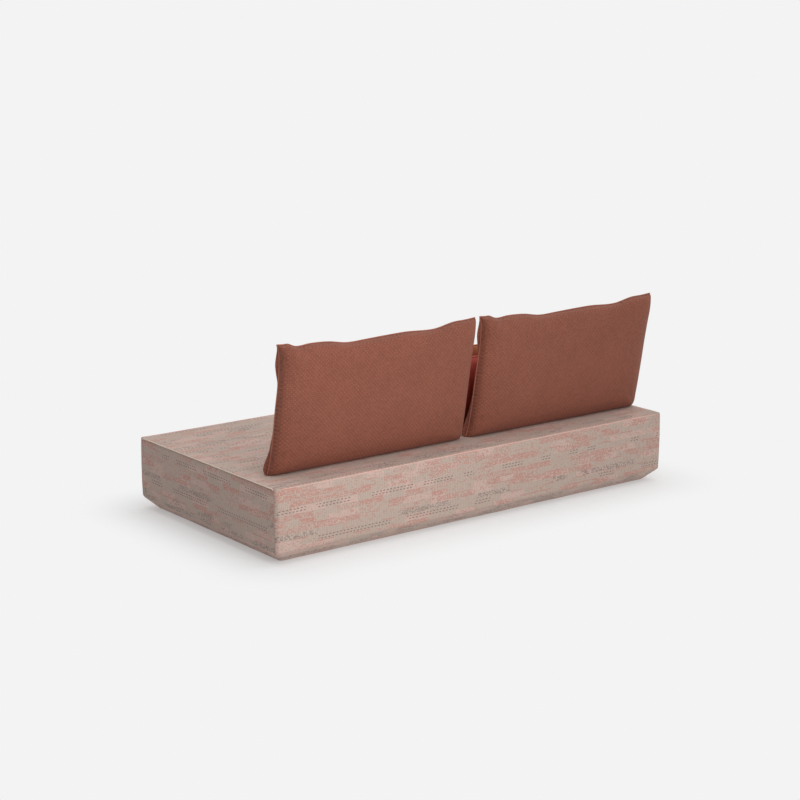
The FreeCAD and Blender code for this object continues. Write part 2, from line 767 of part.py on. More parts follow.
def rear_lumbar_y(x):
    """Place along Y at which the rear lumbar cushion leans on the back cushions."""
    reach = size("lumbar_width") / 2
    room = []
    for height in steps(0, rear_tall, SAMPLES):
        for across in steps(-reach, reach, SAMPLES):
            depth = lumbar_half_thickness(across, height, rear_tall)
            level = deck + height * math.cos(lumbar_tilt) - depth * math.sin(lumbar_tilt)
            face = back_front_face(x + across, max(level, deck))
            if depth and face is not None:
                room.append(face - depth * math.cos(lumbar_tilt) - height * math.sin(lumbar_tilt))
    return min(room) - size("lumbar_gap")


def front_lumbar_y(rear_y, rear_x, front_x):
    """Place along Y at which the front lumbar cushion leans on the rear one."""
    reach = size("lumbar_width") / 2
    spans = []
    for height in steps(0, min(rear_tall, front_tall), SAMPLES):
        for x in steps(front_x - reach, front_x + reach, SAMPLES):
            behind = lumbar_half_thickness(x - rear_x, height, rear_tall)
            spans.append(behind + lumbar_half_thickness(x - front_x, height, front_tall))
    return rear_y - (max(spans) + size("lumbar_gap")) / math.cos(lumbar_tilt)


def add_lumbar_cushion(hand, x, y, height):
    """Small loose cushion that leans back: a sewn cover with an envelope closure and a pad."""
    name = f"lumbar_{hand}"
    stuffed = wall + size("soft_gap")
    low = size("lumbar_foot_margin")
    high = height - size("lumbar_top_draw") - size("pillow_top_margin")
    scoop = top_scoop(size("lumbar_width"), size("lumbar_top_draw"), height, size("seat_depth"))
    lean = size("lumbar_lean")
    blank = lumbar_loft(0, 0, height, height).cut(scoop)
    outside = solid_feature(f"{name}_outside", blank, x, y, deck, lean)
    hollow = solid_feature(f"{name}_hollow", lumbar_loft(wall, low, high, height), x, y, deck, lean)
    under = slab(
        f"{name}_under", both("seat_length"), both("seat_depth"), ("0", "seat_height + soft_gap")
    )
    piece(f"{name}_cover", cut(f"{name}_cover", outside, hollow, under))
    gap = size("soft_gap")
    pad = lumbar_loft(stuffed, low + gap, high - gap, height)
    piece(f"{name}_pad", solid_feature(f"{name}_pad", pad, x, y, deck, lean))


add_cover()
add_filling()
add_upper_frame()
add_lower_frame()
for hand, centre in back_centres.items():
    add_back_cushion(hand, centre)
rear_x, front_x = size("lumbar_rear_x"), size("lumbar_front_x")
rear_y = rear_lumbar_y(rear_x)
add_lumbar_cushion("rear", rear_x, rear_y, rear_tall)
add_lumbar_cushion("front", front_x, front_lumbar_y(rear_y, rear_x, front_x), front_tall)

doc.recompute()
for obj in doc.Objects:
    if "Invalid" in obj.State or "Error" in obj.State:
        raise RuntimeError(f"{obj.Label} failed: {obj.State}")
os.makedirs("parts", exist_ok=True)
for node, obj in pieces.items():
    shape = obj.Shape
    if shape.isNull() or not shape.isValid() or not shape.Solids:
        raise RuntimeError(f"{node} has no valid solid")
    shape.exportStep(f"parts/{node}.step")
    print(node, len(shape.Solids), round(shape.Volume / 1000), "cm3")
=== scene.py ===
import json
import math

import bmesh
import bpy
import numpy as np
from mathutils import Matrix, Vector, kdtree, noise


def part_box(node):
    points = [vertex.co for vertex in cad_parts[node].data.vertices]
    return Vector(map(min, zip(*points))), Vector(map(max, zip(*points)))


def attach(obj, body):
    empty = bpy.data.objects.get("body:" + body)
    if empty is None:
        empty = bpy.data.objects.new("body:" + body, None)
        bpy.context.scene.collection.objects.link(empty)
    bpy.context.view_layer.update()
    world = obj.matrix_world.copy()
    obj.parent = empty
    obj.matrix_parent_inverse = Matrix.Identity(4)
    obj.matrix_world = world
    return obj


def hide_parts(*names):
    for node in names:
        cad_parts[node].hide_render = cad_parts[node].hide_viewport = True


# Sofa bed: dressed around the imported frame, in metres

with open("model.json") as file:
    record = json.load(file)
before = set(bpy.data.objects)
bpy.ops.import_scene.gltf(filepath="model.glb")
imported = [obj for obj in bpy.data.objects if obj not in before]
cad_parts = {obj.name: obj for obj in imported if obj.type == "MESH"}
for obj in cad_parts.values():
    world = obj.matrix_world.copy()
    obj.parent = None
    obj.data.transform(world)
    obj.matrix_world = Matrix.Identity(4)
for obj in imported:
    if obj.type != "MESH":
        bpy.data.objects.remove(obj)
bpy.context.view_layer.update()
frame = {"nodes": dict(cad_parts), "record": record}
nodes = frame["nodes"]
scene = bpy.context.scene

# Sizes that the cloth shares with the solids

HALF_X, HALF_Y = 1.0, 0.5
DECK = 0.300
CORNER_RADIUS = 0.014
TURN_UNDER = 0.050
SEAM_INSET = 0.002
BACK_WIDTH, BACK_HEIGHT = 0.948, 0.516
BACK_CENTRES = {"left": 0.448, "right": -0.528}
BACK_FOOT_Y = 0.312
BACK_LEAN = math.tan(math.radians(10))
FRONT_CROWN, REAR_CROWN = 0.135, 0.027
MAT_THICKNESS = 0.004
LUMBAR_WIDTH, LUMBAR_THICKNESS = 0.500, 0.150
LUMBAR_LEAN = math.radians(12)
LUMBAR_SIDE_DRAW, LUMBAR_TOP_DRAW = 0.014, 0.008

# Sizes in which the cloth keeps closer to the photo than the solids do

SOLE = 0.0015
BEVEL_HEIGHT, BEVEL_INSET = 0.049, 0.050
EDGE_RADIUS, LONG_EDGE_RADIUS = 0.004, 0.012
BACK_STRETCH = {"left": 1.003, "right": 0.992}

# Places that follow from these

KNEE_LEVEL = SOLE + BEVEL_HEIGHT
SEAM_LEVEL = DECK - EDGE_RADIUS - SEAM_INSET
SEAM_Y = HALF_Y - CORNER_RADIUS - SEAM_INSET
FLAT_X, FLAT_Y = HALF_X - CORNER_RADIUS, HALF_Y - CORNER_RADIUS

# Angles of a quarter turn, sides of a round cord, and room between a cushion and the deck

QUARTER = [math.radians(90 * k / 6) for k in range(7)]
CORD_SIDES = 8
FOOT_GAP = 0.0006


# Mesh helpers


def make_object(name, verts, faces, uvs=None):
    """Smooth mesh object from lists, with an optional map in metres, one pair for each corner of each face."""
    mesh = bpy.data.meshes.new(name)
    mesh.from_pydata([tuple(v) for v in verts], [], faces)
    if uvs is not None:
        layer = mesh.uv_layers.new(name="cloth")
        flat = np.array([spot for face in uvs for spot in face], np.float32)
        layer.uv.foreach_set("vector", flat.ravel())
    mesh.polygons.foreach_set("use_smooth", [True] * len(mesh.polygons))
    mesh.update()
    obj = bpy.data.objects.new(name, mesh)
    scene.collection.objects.link(obj)
    return obj


def coords(obj):
    co = np.zeros(len(obj.data.vertices) * 3)
    obj.data.vertices.foreach_get("co", co)
    return co.reshape(-1, 3)


def set_coords(obj, co):
    obj.data.vertices.foreach_set("co", np.asarray(co, np.float32).ravel())
    obj.data.update()


def activate(obj):
    bpy.ops.object.select_all(action="DESELECT")
    obj.select_set(True)
    bpy.context.view_layer.objects.active = obj


def outward(obj):
    """Turn all faces of a closed mesh to the outside."""
    bm = bmesh.new()
    bm.from_mesh(obj.data)
    bmesh.ops.recalc_face_normals(bm, faces=bm.faces)
    bm.to_mesh(obj.data)
    bm.free()
    obj.data.update()


def tube(name, path, radius, closed=False):
    """Round cord along points, with a map in metres along and around it."""
    points = [Vector(p) for p in path]
    count, sides = len(points), CORD_SIDES
    verts, faces, uvs = [], [], []
    length = 0.0
    lengths = []
    side = None
    for i, p in enumerate(points):
        before = points[i - 1] if i or closed else p
        after = points[(i + 1) % count] if i + 1 < count or closed else p
        along = (after - before).normalized()
        if side is None:
            side = along.orthogonal().normalized()
        side = (side - along * side.dot(along)).normalized()
        up = along.cross(side)
        for k in range(sides):
            a = 2 * math.pi * k / sides
            verts.append(p + (side * math.cos(a) + up * math.sin(a)) * radius)
        lengths.append(length)
        length += (points[(i + 1) % count] - p).length if i + 1 < count or closed else 0
    lengths.append(length)
    around = 2 * math.pi * radius / sides
    for i in range(count if closed else count - 1):
        j = (i + 1) % count
        start, end = lengths[i], lengths[i + 1]
        for k in range(sides):
            m = (k + 1) % sides
            low, high = k * around, (k + 1) * around
            faces.append((i * sides + k, j * sides + k, j * sides + m, i * sides + m))
            uvs.append(((start, low), (end, low), (end, high), (start, high)))
    if not closed:
        for start, flip in ((0, True), ((count - 1) * sides, False)):
            cap = [start + k for k in range(sides)]
            faces.append(tuple(reversed(cap)) if flip else tuple(cap))
            uvs.append([(0, 0)] * sides)
    obj = make_object(name, verts, faces, uvs)
    outward(obj)
    return obj


def smooth_curve(points):
    """Smooth function through the given (place, value) points."""
    xs = np.array([p[0] for p in points], float)
    ys = np.array([p[1] for p in points], float)
    step = np.diff(xs)
    slope = np.diff(ys) / step
    m = np.zeros(len(xs))
    m[1:-1] = (slope[:-1] + slope[1:]) / 2
    m[0], m[-1] = slope[0], slope[-1]

    def value(x):
        x = np.clip(x, xs[0], xs[-1])
        i = np.clip(np.searchsorted(xs, x) - 1, 0, len(step) - 1)
        t = (x - xs[i]) / step[i]
        a, b = ys[i], ys[i + 1]
        return (
            a * (2 * t**3 - 3 * t**2 + 1)
            + b * (3 * t**2 - 2 * t**3)
            + step[i] * (m[i] * (t**3 - 2 * t**2 + t) + m[i + 1] * (t**3 - t**2))
        )

    return value


def ripple(point, scale, seed):
    """Smooth noise from -1 to 1 at a point."""
    return noise.noise(Vector(point) / scale + Vector((seed, 2.3 * seed, -seed)))


def crowded(count, amount):
    """Places from -1 to 1, closer together at both ends."""
    end = math.sin(math.pi / 2 * amount)
    return [math.sin(math.pi / 2 * (2 * i / count - 1) * amount) / end for i in range(count + 1)]


def share_of(value, whole):
    """How much of a whole a value makes, from none to one."""
    return min(1.0, max(0.0, value / whole))


def paint(obj, material):
    obj.data.materials.clear()
    obj.data.materials.append(material)


# Node helpers


class Value:
    """What comes out of a node, with which sums can be written as usual."""

    def __init__(self, tree, socket):
        self.tree, self.socket = tree, socket

    def maths(self, operation, other=0.0):
        return fed(self.tree, "ShaderNodeMath", (self, other, 0.0), operation=operation)

    def __add__(self, other):
        return self.maths("ADD", other)

    def __sub__(self, other):
        return self.maths("SUBTRACT", other)

    def __rsub__(self, other):
        return fed(self.tree, "ShaderNodeMath", (other, self, 0.0), operation="SUBTRACT")

    def __mul__(self, other):
        return self.maths("MULTIPLY", other)

    def __truediv__(self, other):
        return self.maths("DIVIDE", other)

    def __mod__(self, other):
        return self.maths("FLOORED_MODULO", other)

    def __lt__(self, other):
        return self.maths("LESS_THAN", other)

    def __gt__(self, other):
        return self.maths("GREATER_THAN", other)

    def floor(self):
        return self.maths("FLOOR")

    def ranged(self, low, high, to_low=0.0, to_high=1.0, kind="SMOOTHSTEP"):
        """This between two limits, turned into a value between two others."""
        values = (self, low, high, to_low, to_high)
        return fed(self.tree, "ShaderNodeMapRange", values, interpolation_type=kind)

    def spread(self, low, high):
        """Value that goes evenly from low to high with this share."""
        return self.ranged(0.0, 1.0, low, high, "LINEAR")

    def mixed(self, a, b):
        """Colour a changing to b by this share."""
        return fed(self.tree, "ShaderNodeMix", {"Factor": self, 6: a, 7: b}, 2, data_type="RGBA")

    def joined(self, b, c=0.0):
        """Vector of this and two more numbers."""
        return fed(self.tree, "ShaderNodeCombineXYZ", (self, b, c))

    def dice(self, b, c):
        """Even random number for the cell that this and two more numbers name."""
        values = {"Vector": self.joined(b, c)}
        return fed(self.tree, "ShaderNodeTexWhiteNoise", values, "Value", noise_dimensions="3D")

    def clouds(self, scale, detail=2.0, rough=0.5):
        """Soft noise at this place."""
        values = {"Vector": self, "Scale": scale, "Detail": detail, "Roughness": rough}
        return fed(self.tree, "ShaderNodeTexNoise", values, "Fac")

    def bump(self, strength, distance):
        """Normal for a surface of this height."""
        values = {"Strength": strength, "Distance": distance, "Height": self}
        return fed(self.tree, "ShaderNodeBump", values)

    def parts(self):
        """First two parts of this vector."""
        n = self.tree.nodes.new("ShaderNodeSeparateXYZ")
        plug(self.tree, n, {0: self})
        return Value(self.tree, n.outputs[0]), Value(self.tree, n.outputs[1])


def plug(tree, n, values):
    """Link what comes out of other nodes to the inputs of a node, and set the rest of the inputs."""
    for key, value in values.items():
        if isinstance(value, Value):
            tree.links.new(value.socket, n.inputs[key])
        else:
            n.inputs[key].default_value = value


def fed(tree, kind, values=(), output=0, **settings):
    """One output of a new node, given its inputs and settings."""
    n = tree.nodes.new(kind)
    for key, value in settings.items():
        setattr(n, key, value)
    plug(tree, n, values if isinstance(values, dict) else dict(enumerate(values)))
    return Value(tree, n.outputs[output])


def new_material(name):
    material = bpy.data.materials.new(name)
    material.use_nodes = True
    tree = material.node_tree
    return material, tree, tree.nodes["Principled BSDF"]


def cloth_map(tree):
    """The cloth's own two directions, in metres."""
    return fed(tree, "ShaderNodeUVMap", uv_map="cloth").parts()


def object_place(tree):
    return fed(tree, "ShaderNodeTexCoord", output="Object")


def srgb(r, g, b):
    """Colour as the screen shows it, as the numbers that a shader takes."""
    linear = [c / 255 / 12.92 if c <= 10.31 else ((c / 255 + 0.055) / 1.055) ** 2.4 for c in (r, g, b)]
    return (*linear, 1.0)


# Materials

# Seat cloth: sizes of a cell and of a thread, rows of a band and of the blocks in it, and limits for its bands
CELL_U, CELL_V = 0.0042, 0.0036
THREAD_U, THREAD_V = 0.0020, 0.0015
BAND_ROWS, BLOCK_ROWS = 7.0, 5.5
DOTTED_ABOVE, GREY_BELOW = 0.78, 0.13


def seat_cloth(name, shade=1.0):
    """Woven cloth of small cells: beige, with bands of coral, pink and grey blocks or of dotted rows."""
    material, tree, shader = new_material(name)
    u, v = cloth_map(tree)
    cell_u, cell_v = (u / CELL_U).floor(), (v / CELL_V).floor()
    band = (cell_v / BAND_ROWS).floor()
    row = cell_v - band * BAND_ROWS
    speck, speck_two = cell_u.dice(cell_v, 1.0), cell_u.dice(cell_v, 7.0)
    band_kind, band_shift, band_scale = band.dice(3.0, 11.0), band.dice(5.0, 17.0), band.dice(9.0, 23.0)

    def blocks(seed, short, long, blur=0.0):
        """Random number for each block along a band, between two lengths and with its ends blurred."""
        start = cell_u * CELL_U + (speck_two - 0.5) * blur
        place = start / band_scale.spread(short, long) + band_shift * seed
        return place.floor().dice(band, seed)

    dotted_band, grey_band = band_kind > DOTTED_ABOVE, band_kind < GREY_BELOW
    coral_band = 1.0 - dotted_band.maths("MAXIMUM", grey_band)
    in_block = row < BLOCK_ROWS

    density = blocks(4.0, 0.062, 0.110, 0.016).ranged(0.30, 0.90, 0.10, 0.78, "LINEAR")
    is_coral = speck < density * in_block.spread(0.06, 1.0) * coral_band.spread(0.22, 1.0)
    is_pink = (blocks(9.0, 0.060, 0.130, 0.010) > 0.70) * (speck_two < 0.75)
    is_grey = grey_band * (blocks(15.0, 0.060, 0.110, 0.030) > 0.45) * in_block * (speck < 0.42)
    dot_row = (row % 3.0).maths("COMPARE", 1.0)
    two_in_four = (cell_u + cell_v) % 4.0 < 1.5
    dots = dotted_band * dot_row * two_in_four * (blocks(21.0, 0.040, 0.090) > 0.38)
    lines = (row > BLOCK_ROWS) * (blocks(27.0, 0.040, 0.090) > 0.80)

    def tone(r, g, b):
        """Colour scaled by the shade of this cloth; below one it gives a darkened copy used as painted shadow.
        """
        return (*(c * shade for c in srgb(r, g, b)[:3]), 1.0)

    colour = ((cell_u % 2.0) * 0.5 + speck * 0.5).mixed(tone(174, 155, 144), tone(190, 172, 160))
    colour = is_pink.mixed(colour, tone(198, 170, 160))
    colour = is_coral.mixed(colour, speck_two.mixed(tone(181, 133, 121), tone(191, 153, 141)))
    colour = is_grey.mixed(colour, tone(150, 132, 124))
    colour = (lines * 0.8).mixed(colour, tone(186, 134, 124))
    colour = (dots * 0.85).mixed(colour, tone(110, 92, 86))

    warp = (u * (2 * math.pi / THREAD_U)).maths("SINE")
    weft = (v * (2 * math.pi / THREAD_V)).maths("SINE")
    height = warp * weft * 0.35 + (is_coral * 0.7 + is_grey * 0.5 + speck_two)
    looks = {
        "Base Color": colour,
        "Roughness": speck.spread(0.82, 0.95),
        "Normal": height.bump(0.35, 0.0006),
        "Specular IOR Level": 0.25,
        "Sheen Weight": 0.06,
    }
    plug(tree, shader, looks)
    return material


def basket_cloth(name, light, dark, pitch, sheen):
    """Plain basket weave: small blocks of threads that run across and along by turns."""
    material, tree, shader = new_material(name)
    u, v = cloth_map(tree)
    block_u, block_v = u / pitch, v / pitch
    cell_u, cell_v = block_u.floor(), block_v.floor()
    turn = (cell_u + cell_v) % 2.0

    def humps(place, count, power):
        """Rounded humps, so many to a block."""
        return (place * (count * math.pi)).maths("SINE").maths("ABSOLUTE").maths("POWER", power)

    def threads(along, across):
        """Three threads side by side in a block, sunk at the ends where they pass under."""
        return humps(across, 3, 0.6) * humps(along, 1, 0.4)

    height = threads(block_u, block_v) * turn + threads(block_v, block_u) * (1.0 - turn)
    slub = (u * 3.0).joined(v * 40.0).clouds(9.0)
    broad = u.joined(v).clouds(7.0, 3.0)
    speck = cell_u.dice(cell_v, 3.0)
    # Colour lighter on the raised threads and darker in the hollows between them, which is painted shade of
    # the weave; blocks of one direction are a little lighter, and speck, slub and broad add random tone
    lift = height * 0.55 + turn * 0.18 + speck * 0.16 + (slub - 0.5) * 0.35 + (broad - 0.5) * 0.25
    looks = {
        "Base Color": lift.mixed(dark, light),
        "Roughness": height.spread(0.95, 0.78),
        "Normal": height.bump(0.5, 0.0008),
        "Specular IOR Level": 0.25,
        "Sheen Weight": sheen,
        "Sheen Roughness": 0.5,
    }
    plug(tree, shader, looks)
    return material


def grained_wood(name, light, dark, scale, axis):
    """Planed wood with long grain along one axis."""
    material, tree, shader = new_material(name)
    scales = tuple(1.5 if k == axis else scale for k in range(3))
    place = fed(tree, "ShaderNodeMapping", {"Vector": object_place(tree), "Scale": scales})
    grain = place.clouds(1.0, 6.0, 0.65) * 0.75 + place.clouds(9.0, 3.0, 0.6) * 0.25
    looks = {
        "Base Color": grain.ranged(0.32, 0.68).mixed(dark, light),
        "Roughness": grain.ranged(0.2, 0.8, 0.75, 0.55),
        "Normal": grain.bump(0.2, 0.0006),
    }
    plug(tree, shader, looks)
    return material


def speckled(name, light, dark, scale, roughness, bump, metal=0.0):
    """Fine mottled surface: plain cloth, plastic, rubber or metal."""
    material, tree, shader = new_material(name)
    grain = object_place(tree).clouds(scale, 4.0, 0.6)
    looks = {
        "Base Color": grain.ranged(0.3, 0.7).mixed(dark, light),
        "Roughness": grain.ranged(0.3, 0.7, roughness + 0.08, roughness - 0.05),
        "Normal": grain.bump(bump, 0.0005),
        "Metallic": metal,
    }
    plug(tree, shader, looks)
    return material


# Woven cloths: light and dark colour, size of a block, sheen
SEAT = seat_cloth("seat_cloth")
# Seat cloth darkened to 0.58 for the cord under the end piping: painted shadow of the gap below the piping
SEAT_SEAM_SHADOW = seat_cloth("seat_seam_shadow_cloth", shade=0.58)
TERRACOTTA = basket_cloth("terracotta_basket", srgb(162, 98, 78), srgb(104, 59, 46), 0.0080, 0.05)
# Terracotta cloth made lighter for the back cushions' welt: painted highlight where the welt catches the light
TERRACOTTA_SEAM_HIGHLIGHT = basket_cloth("terracotta_seam_highlight", srgb(188, 120, 98), srgb(154, 94, 76), 0.0030, 0.05)
RED = basket_cloth("red_weave", srgb(186, 73, 57), srgb(134, 43, 34), 0.0050, 0.08)
ORANGE = basket_cloth("orange_weave", srgb(188, 114, 76), srgb(144, 79, 51), 0.0050, 0.08)
# Plain cloths: light and dark colour, fineness of the mottle, roughness, bump
# Plain cord cloth paler than the seat cloth: painted highlight along the top of the end piping
SEAT_PIPING_HIGHLIGHT = speckled("seat_piping_highlight_cloth", srgb(236, 218, 202), srgb(216, 196, 180), 240.0, 0.9, 0.4)
# Pale pink cord on the long top edges: partly a pale row of the weave, partly painted highlight on the fold
SEAT_FOLD_HIGHLIGHT = speckled("seat_fold_highlight_cloth", srgb(232, 192, 178), srgb(206, 164, 150), 240.0, 0.9, 0.4)
DUST = speckled("dust_cloth", srgb(60, 58, 57), srgb(40, 39, 38), 900.0, 0.92, 0.5)
# Solids that stay, by slot: woods with closeness and axis of the grain, the rest like plain cloths, metals 1
FINISHES = {
    "softwood": grained_wood("pine", srgb(222, 190, 146), srgb(186, 146, 98), 38.0, 0),
    "slat_wood": grained_wood("beech", srgb(214, 178, 138), srgb(184, 142, 102), 46.0, 1),
    "plywood": grained_wood("plywood", srgb(206, 172, 128), srgb(172, 132, 90), 30.0, 0),
    "zinc_steel": speckled("zinc_steel", srgb(206, 206, 204), srgb(160, 160, 160), 320.0, 0.34, 0.1, 1.0),
    "spring_steel": speckled("spring_steel", srgb(120, 124, 132), srgb(84, 88, 96), 220.0, 0.38, 0.1, 1.0),
    "glide_plastic": speckled("glide_plastic", srgb(52, 52, 54), srgb(36, 36, 38), 420.0, 0.55, 0.25),
    "grip_rubber": speckled("grip_rubber", srgb(58, 56, 55), srgb(38, 37, 36), 260.0, 0.82, 0.6),
    "zip_metal": speckled("zip_metal", srgb(196, 160, 104), srgb(150, 118, 72), 240.0, 0.32, 0.1, 1.0),
    "zip_tape": speckled("zip_tape", srgb(128, 78, 64), srgb(98, 58, 48), 800.0, 0.9, 0.4),
}


# Seat block

# Section: rounding of the bevel, steps of each stretch, and drops of the rows of points below the seam
HEEL_ROUND, KNEE_ROUND = 0.004, 0.008
HEM_STEPS, HEEL_STEPS, SLOPE_STEPS, KNEE_STEPS, SIDE_STEPS = 5, 4, 5, 6, 13
SEAM_DROPS = (0.030, 0.020, 0.013, 0.008, 0.005, 0.0025)


def bezier_corner(a, corner, b, count):
    """Rounded corner between two points of a profile."""
    out = []
    for i in range(count + 1):
        t = i / count
        out.append(
            tuple((1 - t) ** 2 * p + 2 * t * (1 - t) * q + t**2 * r for p, q, r in zip(a, corner, b))
        )
    return out


def between(a, b, count):
    """Points that part a line evenly, without its ends."""
    return [tuple(p + (q - p) * i / count for p, q in zip(a, b)) for i in range(1, count)]


def seat_profile():
    """Section of the cover from the turned-under hem up to the flat top, as (set in, level) points."""
    knee, heel, hem = (0.0, KNEE_LEVEL), (BEVEL_INSET, SOLE), (BEVEL_INSET + TURN_UNDER, SOLE)
    slope = Vector((knee[0] - heel[0], knee[1] - heel[1])).normalized()
    heel_in, heel_up = (BEVEL_INSET + HEEL_ROUND, SOLE), tuple(Vector(heel) + slope * HEEL_ROUND)
    knee_low, knee_high = tuple(Vector(knee) - slope * KNEE_ROUND), (0.0, KNEE_LEVEL + KNEE_ROUND)
    points = [hem] + between(hem, heel_in, HEM_STEPS)
    points += bezier_corner(heel_in, heel, heel_up, HEEL_STEPS)
    points += between(heel_up, knee_low, SLOPE_STEPS)
    points += bezier_corner(knee_low, knee, knee_high, KNEE_STEPS)
    points += between(knee_high, (0.0, SEAM_LEVEL - SEAM_DROPS[0]), SIDE_STEPS)
    points += [(0.0, SEAM_LEVEL - drop) for drop in SEAM_DROPS]
    seam_row = len(points)
    points.append((0.0, SEAM_LEVEL))
    for a in QUARTER:
        points.append((EDGE_RADIUS * (1 - math.cos(a)), DECK - EDGE_RADIUS + EDGE_RADIUS * math.sin(a)))
    return points, seam_row


PROFILE, SEAM_ROW = seat_profile()

# Steps along the sides, as shares: even along the length, and closer together near the seams of the ends
LONG_STEPS = np.linspace(-1, 1, 101)
END_GAPS = (0.0, SEAM_INSET, 0.0045, 0.008, 0.013, 0.020, 0.030, 0.044)
END_MARKS = [FLAT_Y - gap for gap in END_GAPS]
END_STEPS = np.array([-m for m in END_MARKS] + list(np.linspace(-0.42, 0.42, 43)) + END_MARKS[::-1]) / FLAT_Y
LAST_LONG, LAST_END = len(LONG_STEPS) - 1, len(END_STEPS) - 1
ARC_STEPS = 6

# Sides in the order of a ring, each followed by its corner
BACK, RIGHT, FRONT, LEFT = 1, 2, 3, 4
CORNER = 4


def ring(inset, radius):
    """Points of a rounded rectangle, each with the side or corner that it is on and its number there."""
    half_x, half_y = HALF_X - inset - radius, HALF_Y - inset - radius
    sides = (
        (BACK, [(-t * half_x, half_y + radius) for t in LONG_STEPS]),
        (RIGHT, [(-half_x - radius, -t * half_y) for t in END_STEPS]),
        (FRONT, [(t * half_x, -half_y - radius) for t in LONG_STEPS]),
        (LEFT, [(half_x + radius, t * half_y) for t in END_STEPS]),
    )
    centres = ((-half_x, half_y), (-half_x, -half_y), (half_x, -half_y), (half_x, half_y))
    points = []
    for turn, ((kind, along), (cx, cy)) in enumerate(zip(sides, centres)):
        points += [(x, y, kind, i) for i, (x, y) in enumerate(along)]
        for k in range(1, ARC_STEPS):
            a = math.radians(90 + 90 * turn + 90 * k / ARC_STEPS)
            points.append((cx + radius * math.cos(a), cy + radius * math.sin(a), kind + CORNER, k))
    return points


# Relief: waves of the cloth, swell of the sides, sunk top, and the groove and puckers of the end seams
BROAD_WAVE, FINE_WAVE = 0.0007, 0.0004
SIDE_SWELL, SIDE_LIFT = 0.0022, 0.0006
TOP_SINK = 0.0006
END_ZONE = 0.16
GROOVE_DEPTH, GROOVE_WIDTH = 0.0022, 0.0045
PUCKER_HEIGHT, PUCKER_PITCH, PUCKER_SHAKE = 0.0009, 0.028, 0.003
PUCKER_DROP, PUCKER_REACH = 0.009, 0.008
# Stretch at the ends over which the long edges go from sharp to round
EDGE_EASE = 0.05


def seat_relief(p, normal):
    """How far the cloth stands out or sinks at a point of the block."""
    x, y, z = p
    lift = BROAD_WAVE * ripple(p, 0.16, 3.0) + FINE_WAVE * ripple(p, 0.05, 8.0)
    if abs(normal[2]) < 0.5 and z > KNEE_LEVEL:
        share = (z - KNEE_LEVEL) / (DECK - KNEE_LEVEL)
        lift += SIDE_SWELL * math.sin(math.pi * min(1, share)) + SIDE_LIFT
    if normal[2] > 0.5:
        lift = min(lift, 0.0) - TOP_SINK - TOP_SINK * ripple(p, 0.3, 5.0)
    if abs(x) > HALF_X - END_ZONE and abs(normal[0]) > 0.5:
        to_side = abs(abs(y) - SEAM_Y)
        to_top = abs(z - SEAM_LEVEL) if abs(y) < SEAM_Y else 1.0
        gap = min(to_side if z < SEAM_LEVEL else 1.0, to_top)
        lift -= GROOVE_DEPTH * math.exp(-((gap / GROOVE_WIDTH) ** 2))
        if abs(y) < SEAM_Y and z < SEAM_LEVEL:
            place = y + PUCKER_SHAKE * ripple(p, 0.03, 2.0)
            pucker = 0.5 + 0.5 * math.sin(2 * math.pi * place / PUCKER_PITCH)
            lift += PUCKER_HEIGHT * pucker * math.exp(-(((to_top - PUCKER_DROP) / PUCKER_REACH) ** 2))
    return lift


def soft_edge(p):
    """Round off the long upper edges, which have no seam, more than the piped ends."""
    ease = share_of(HALF_X - abs(p.x), EDGE_EASE)
    radius = EDGE_RADIUS + (LONG_EDGE_RADIUS - EDGE_RADIUS) * ease * ease * (3 - 2 * ease)
    back, down = radius - (HALF_Y - abs(p.y)), radius - (DECK - p.z)
    far = math.hypot(back, down)
    if back <= 0 or down <= 0 or far <= radius:
        return p
    pull = 1 - radius / far
    return Vector((p.x, p.y - math.copysign(back * pull, p.y), p.z - down * pull))


def seat_points():
    """Points of the block, their rows from the hem up to the rim of the flat top, and the grid of the top."""
    verts, rows, grid, rim = [], [], {}, []
    for inset, level in PROFILE:
        radius = CORNER_RADIUS if level < DECK - EDGE_RADIUS else CORNER_RADIUS - inset
        start = len(verts)
        verts += [Vector((x, y, level)) for x, y, _, _ in ring(inset, radius)]
        rows.append(list(range(start, len(verts))))
    for i, s in enumerate(LONG_STEPS):
        for j, t in enumerate(END_STEPS):
            grid[i, j] = len(verts)
            verts.append(Vector((s * FLAT_X, t * FLAT_Y, DECK)))
    for _, _, kind, k in ring(0.0, CORNER_RADIUS):
        spot = {
            BACK: (LAST_LONG - k, LAST_END),
            BACK + CORNER: (0, LAST_END),
            RIGHT: (0, LAST_END - k),
            RIGHT + CORNER: (0, 0),
            FRONT: (k, 0),
            FRONT + CORNER: (LAST_LONG, 0),
            LEFT: (LAST_LONG, k),
            LEFT + CORNER: (LAST_LONG, LAST_END),
        }[kind]
        rim.append(grid[spot])
    return verts, [*rows, rim], grid


def profile_run():
    """Distance of each row of points from the flat of the top, along the section."""
    run = [0.0]
    levels = [*PROFILE, (CORNER_RADIUS, DECK)]
    for a, b in zip(reversed(levels[:-1]), reversed(levels[1:])):
        run.append(run[-1] + math.dist(a, b))
    return run[::-1]


# Where the end panels lie on the cloth that they are cut from
PANEL_U, PANEL_V = 0.37, 0.5364


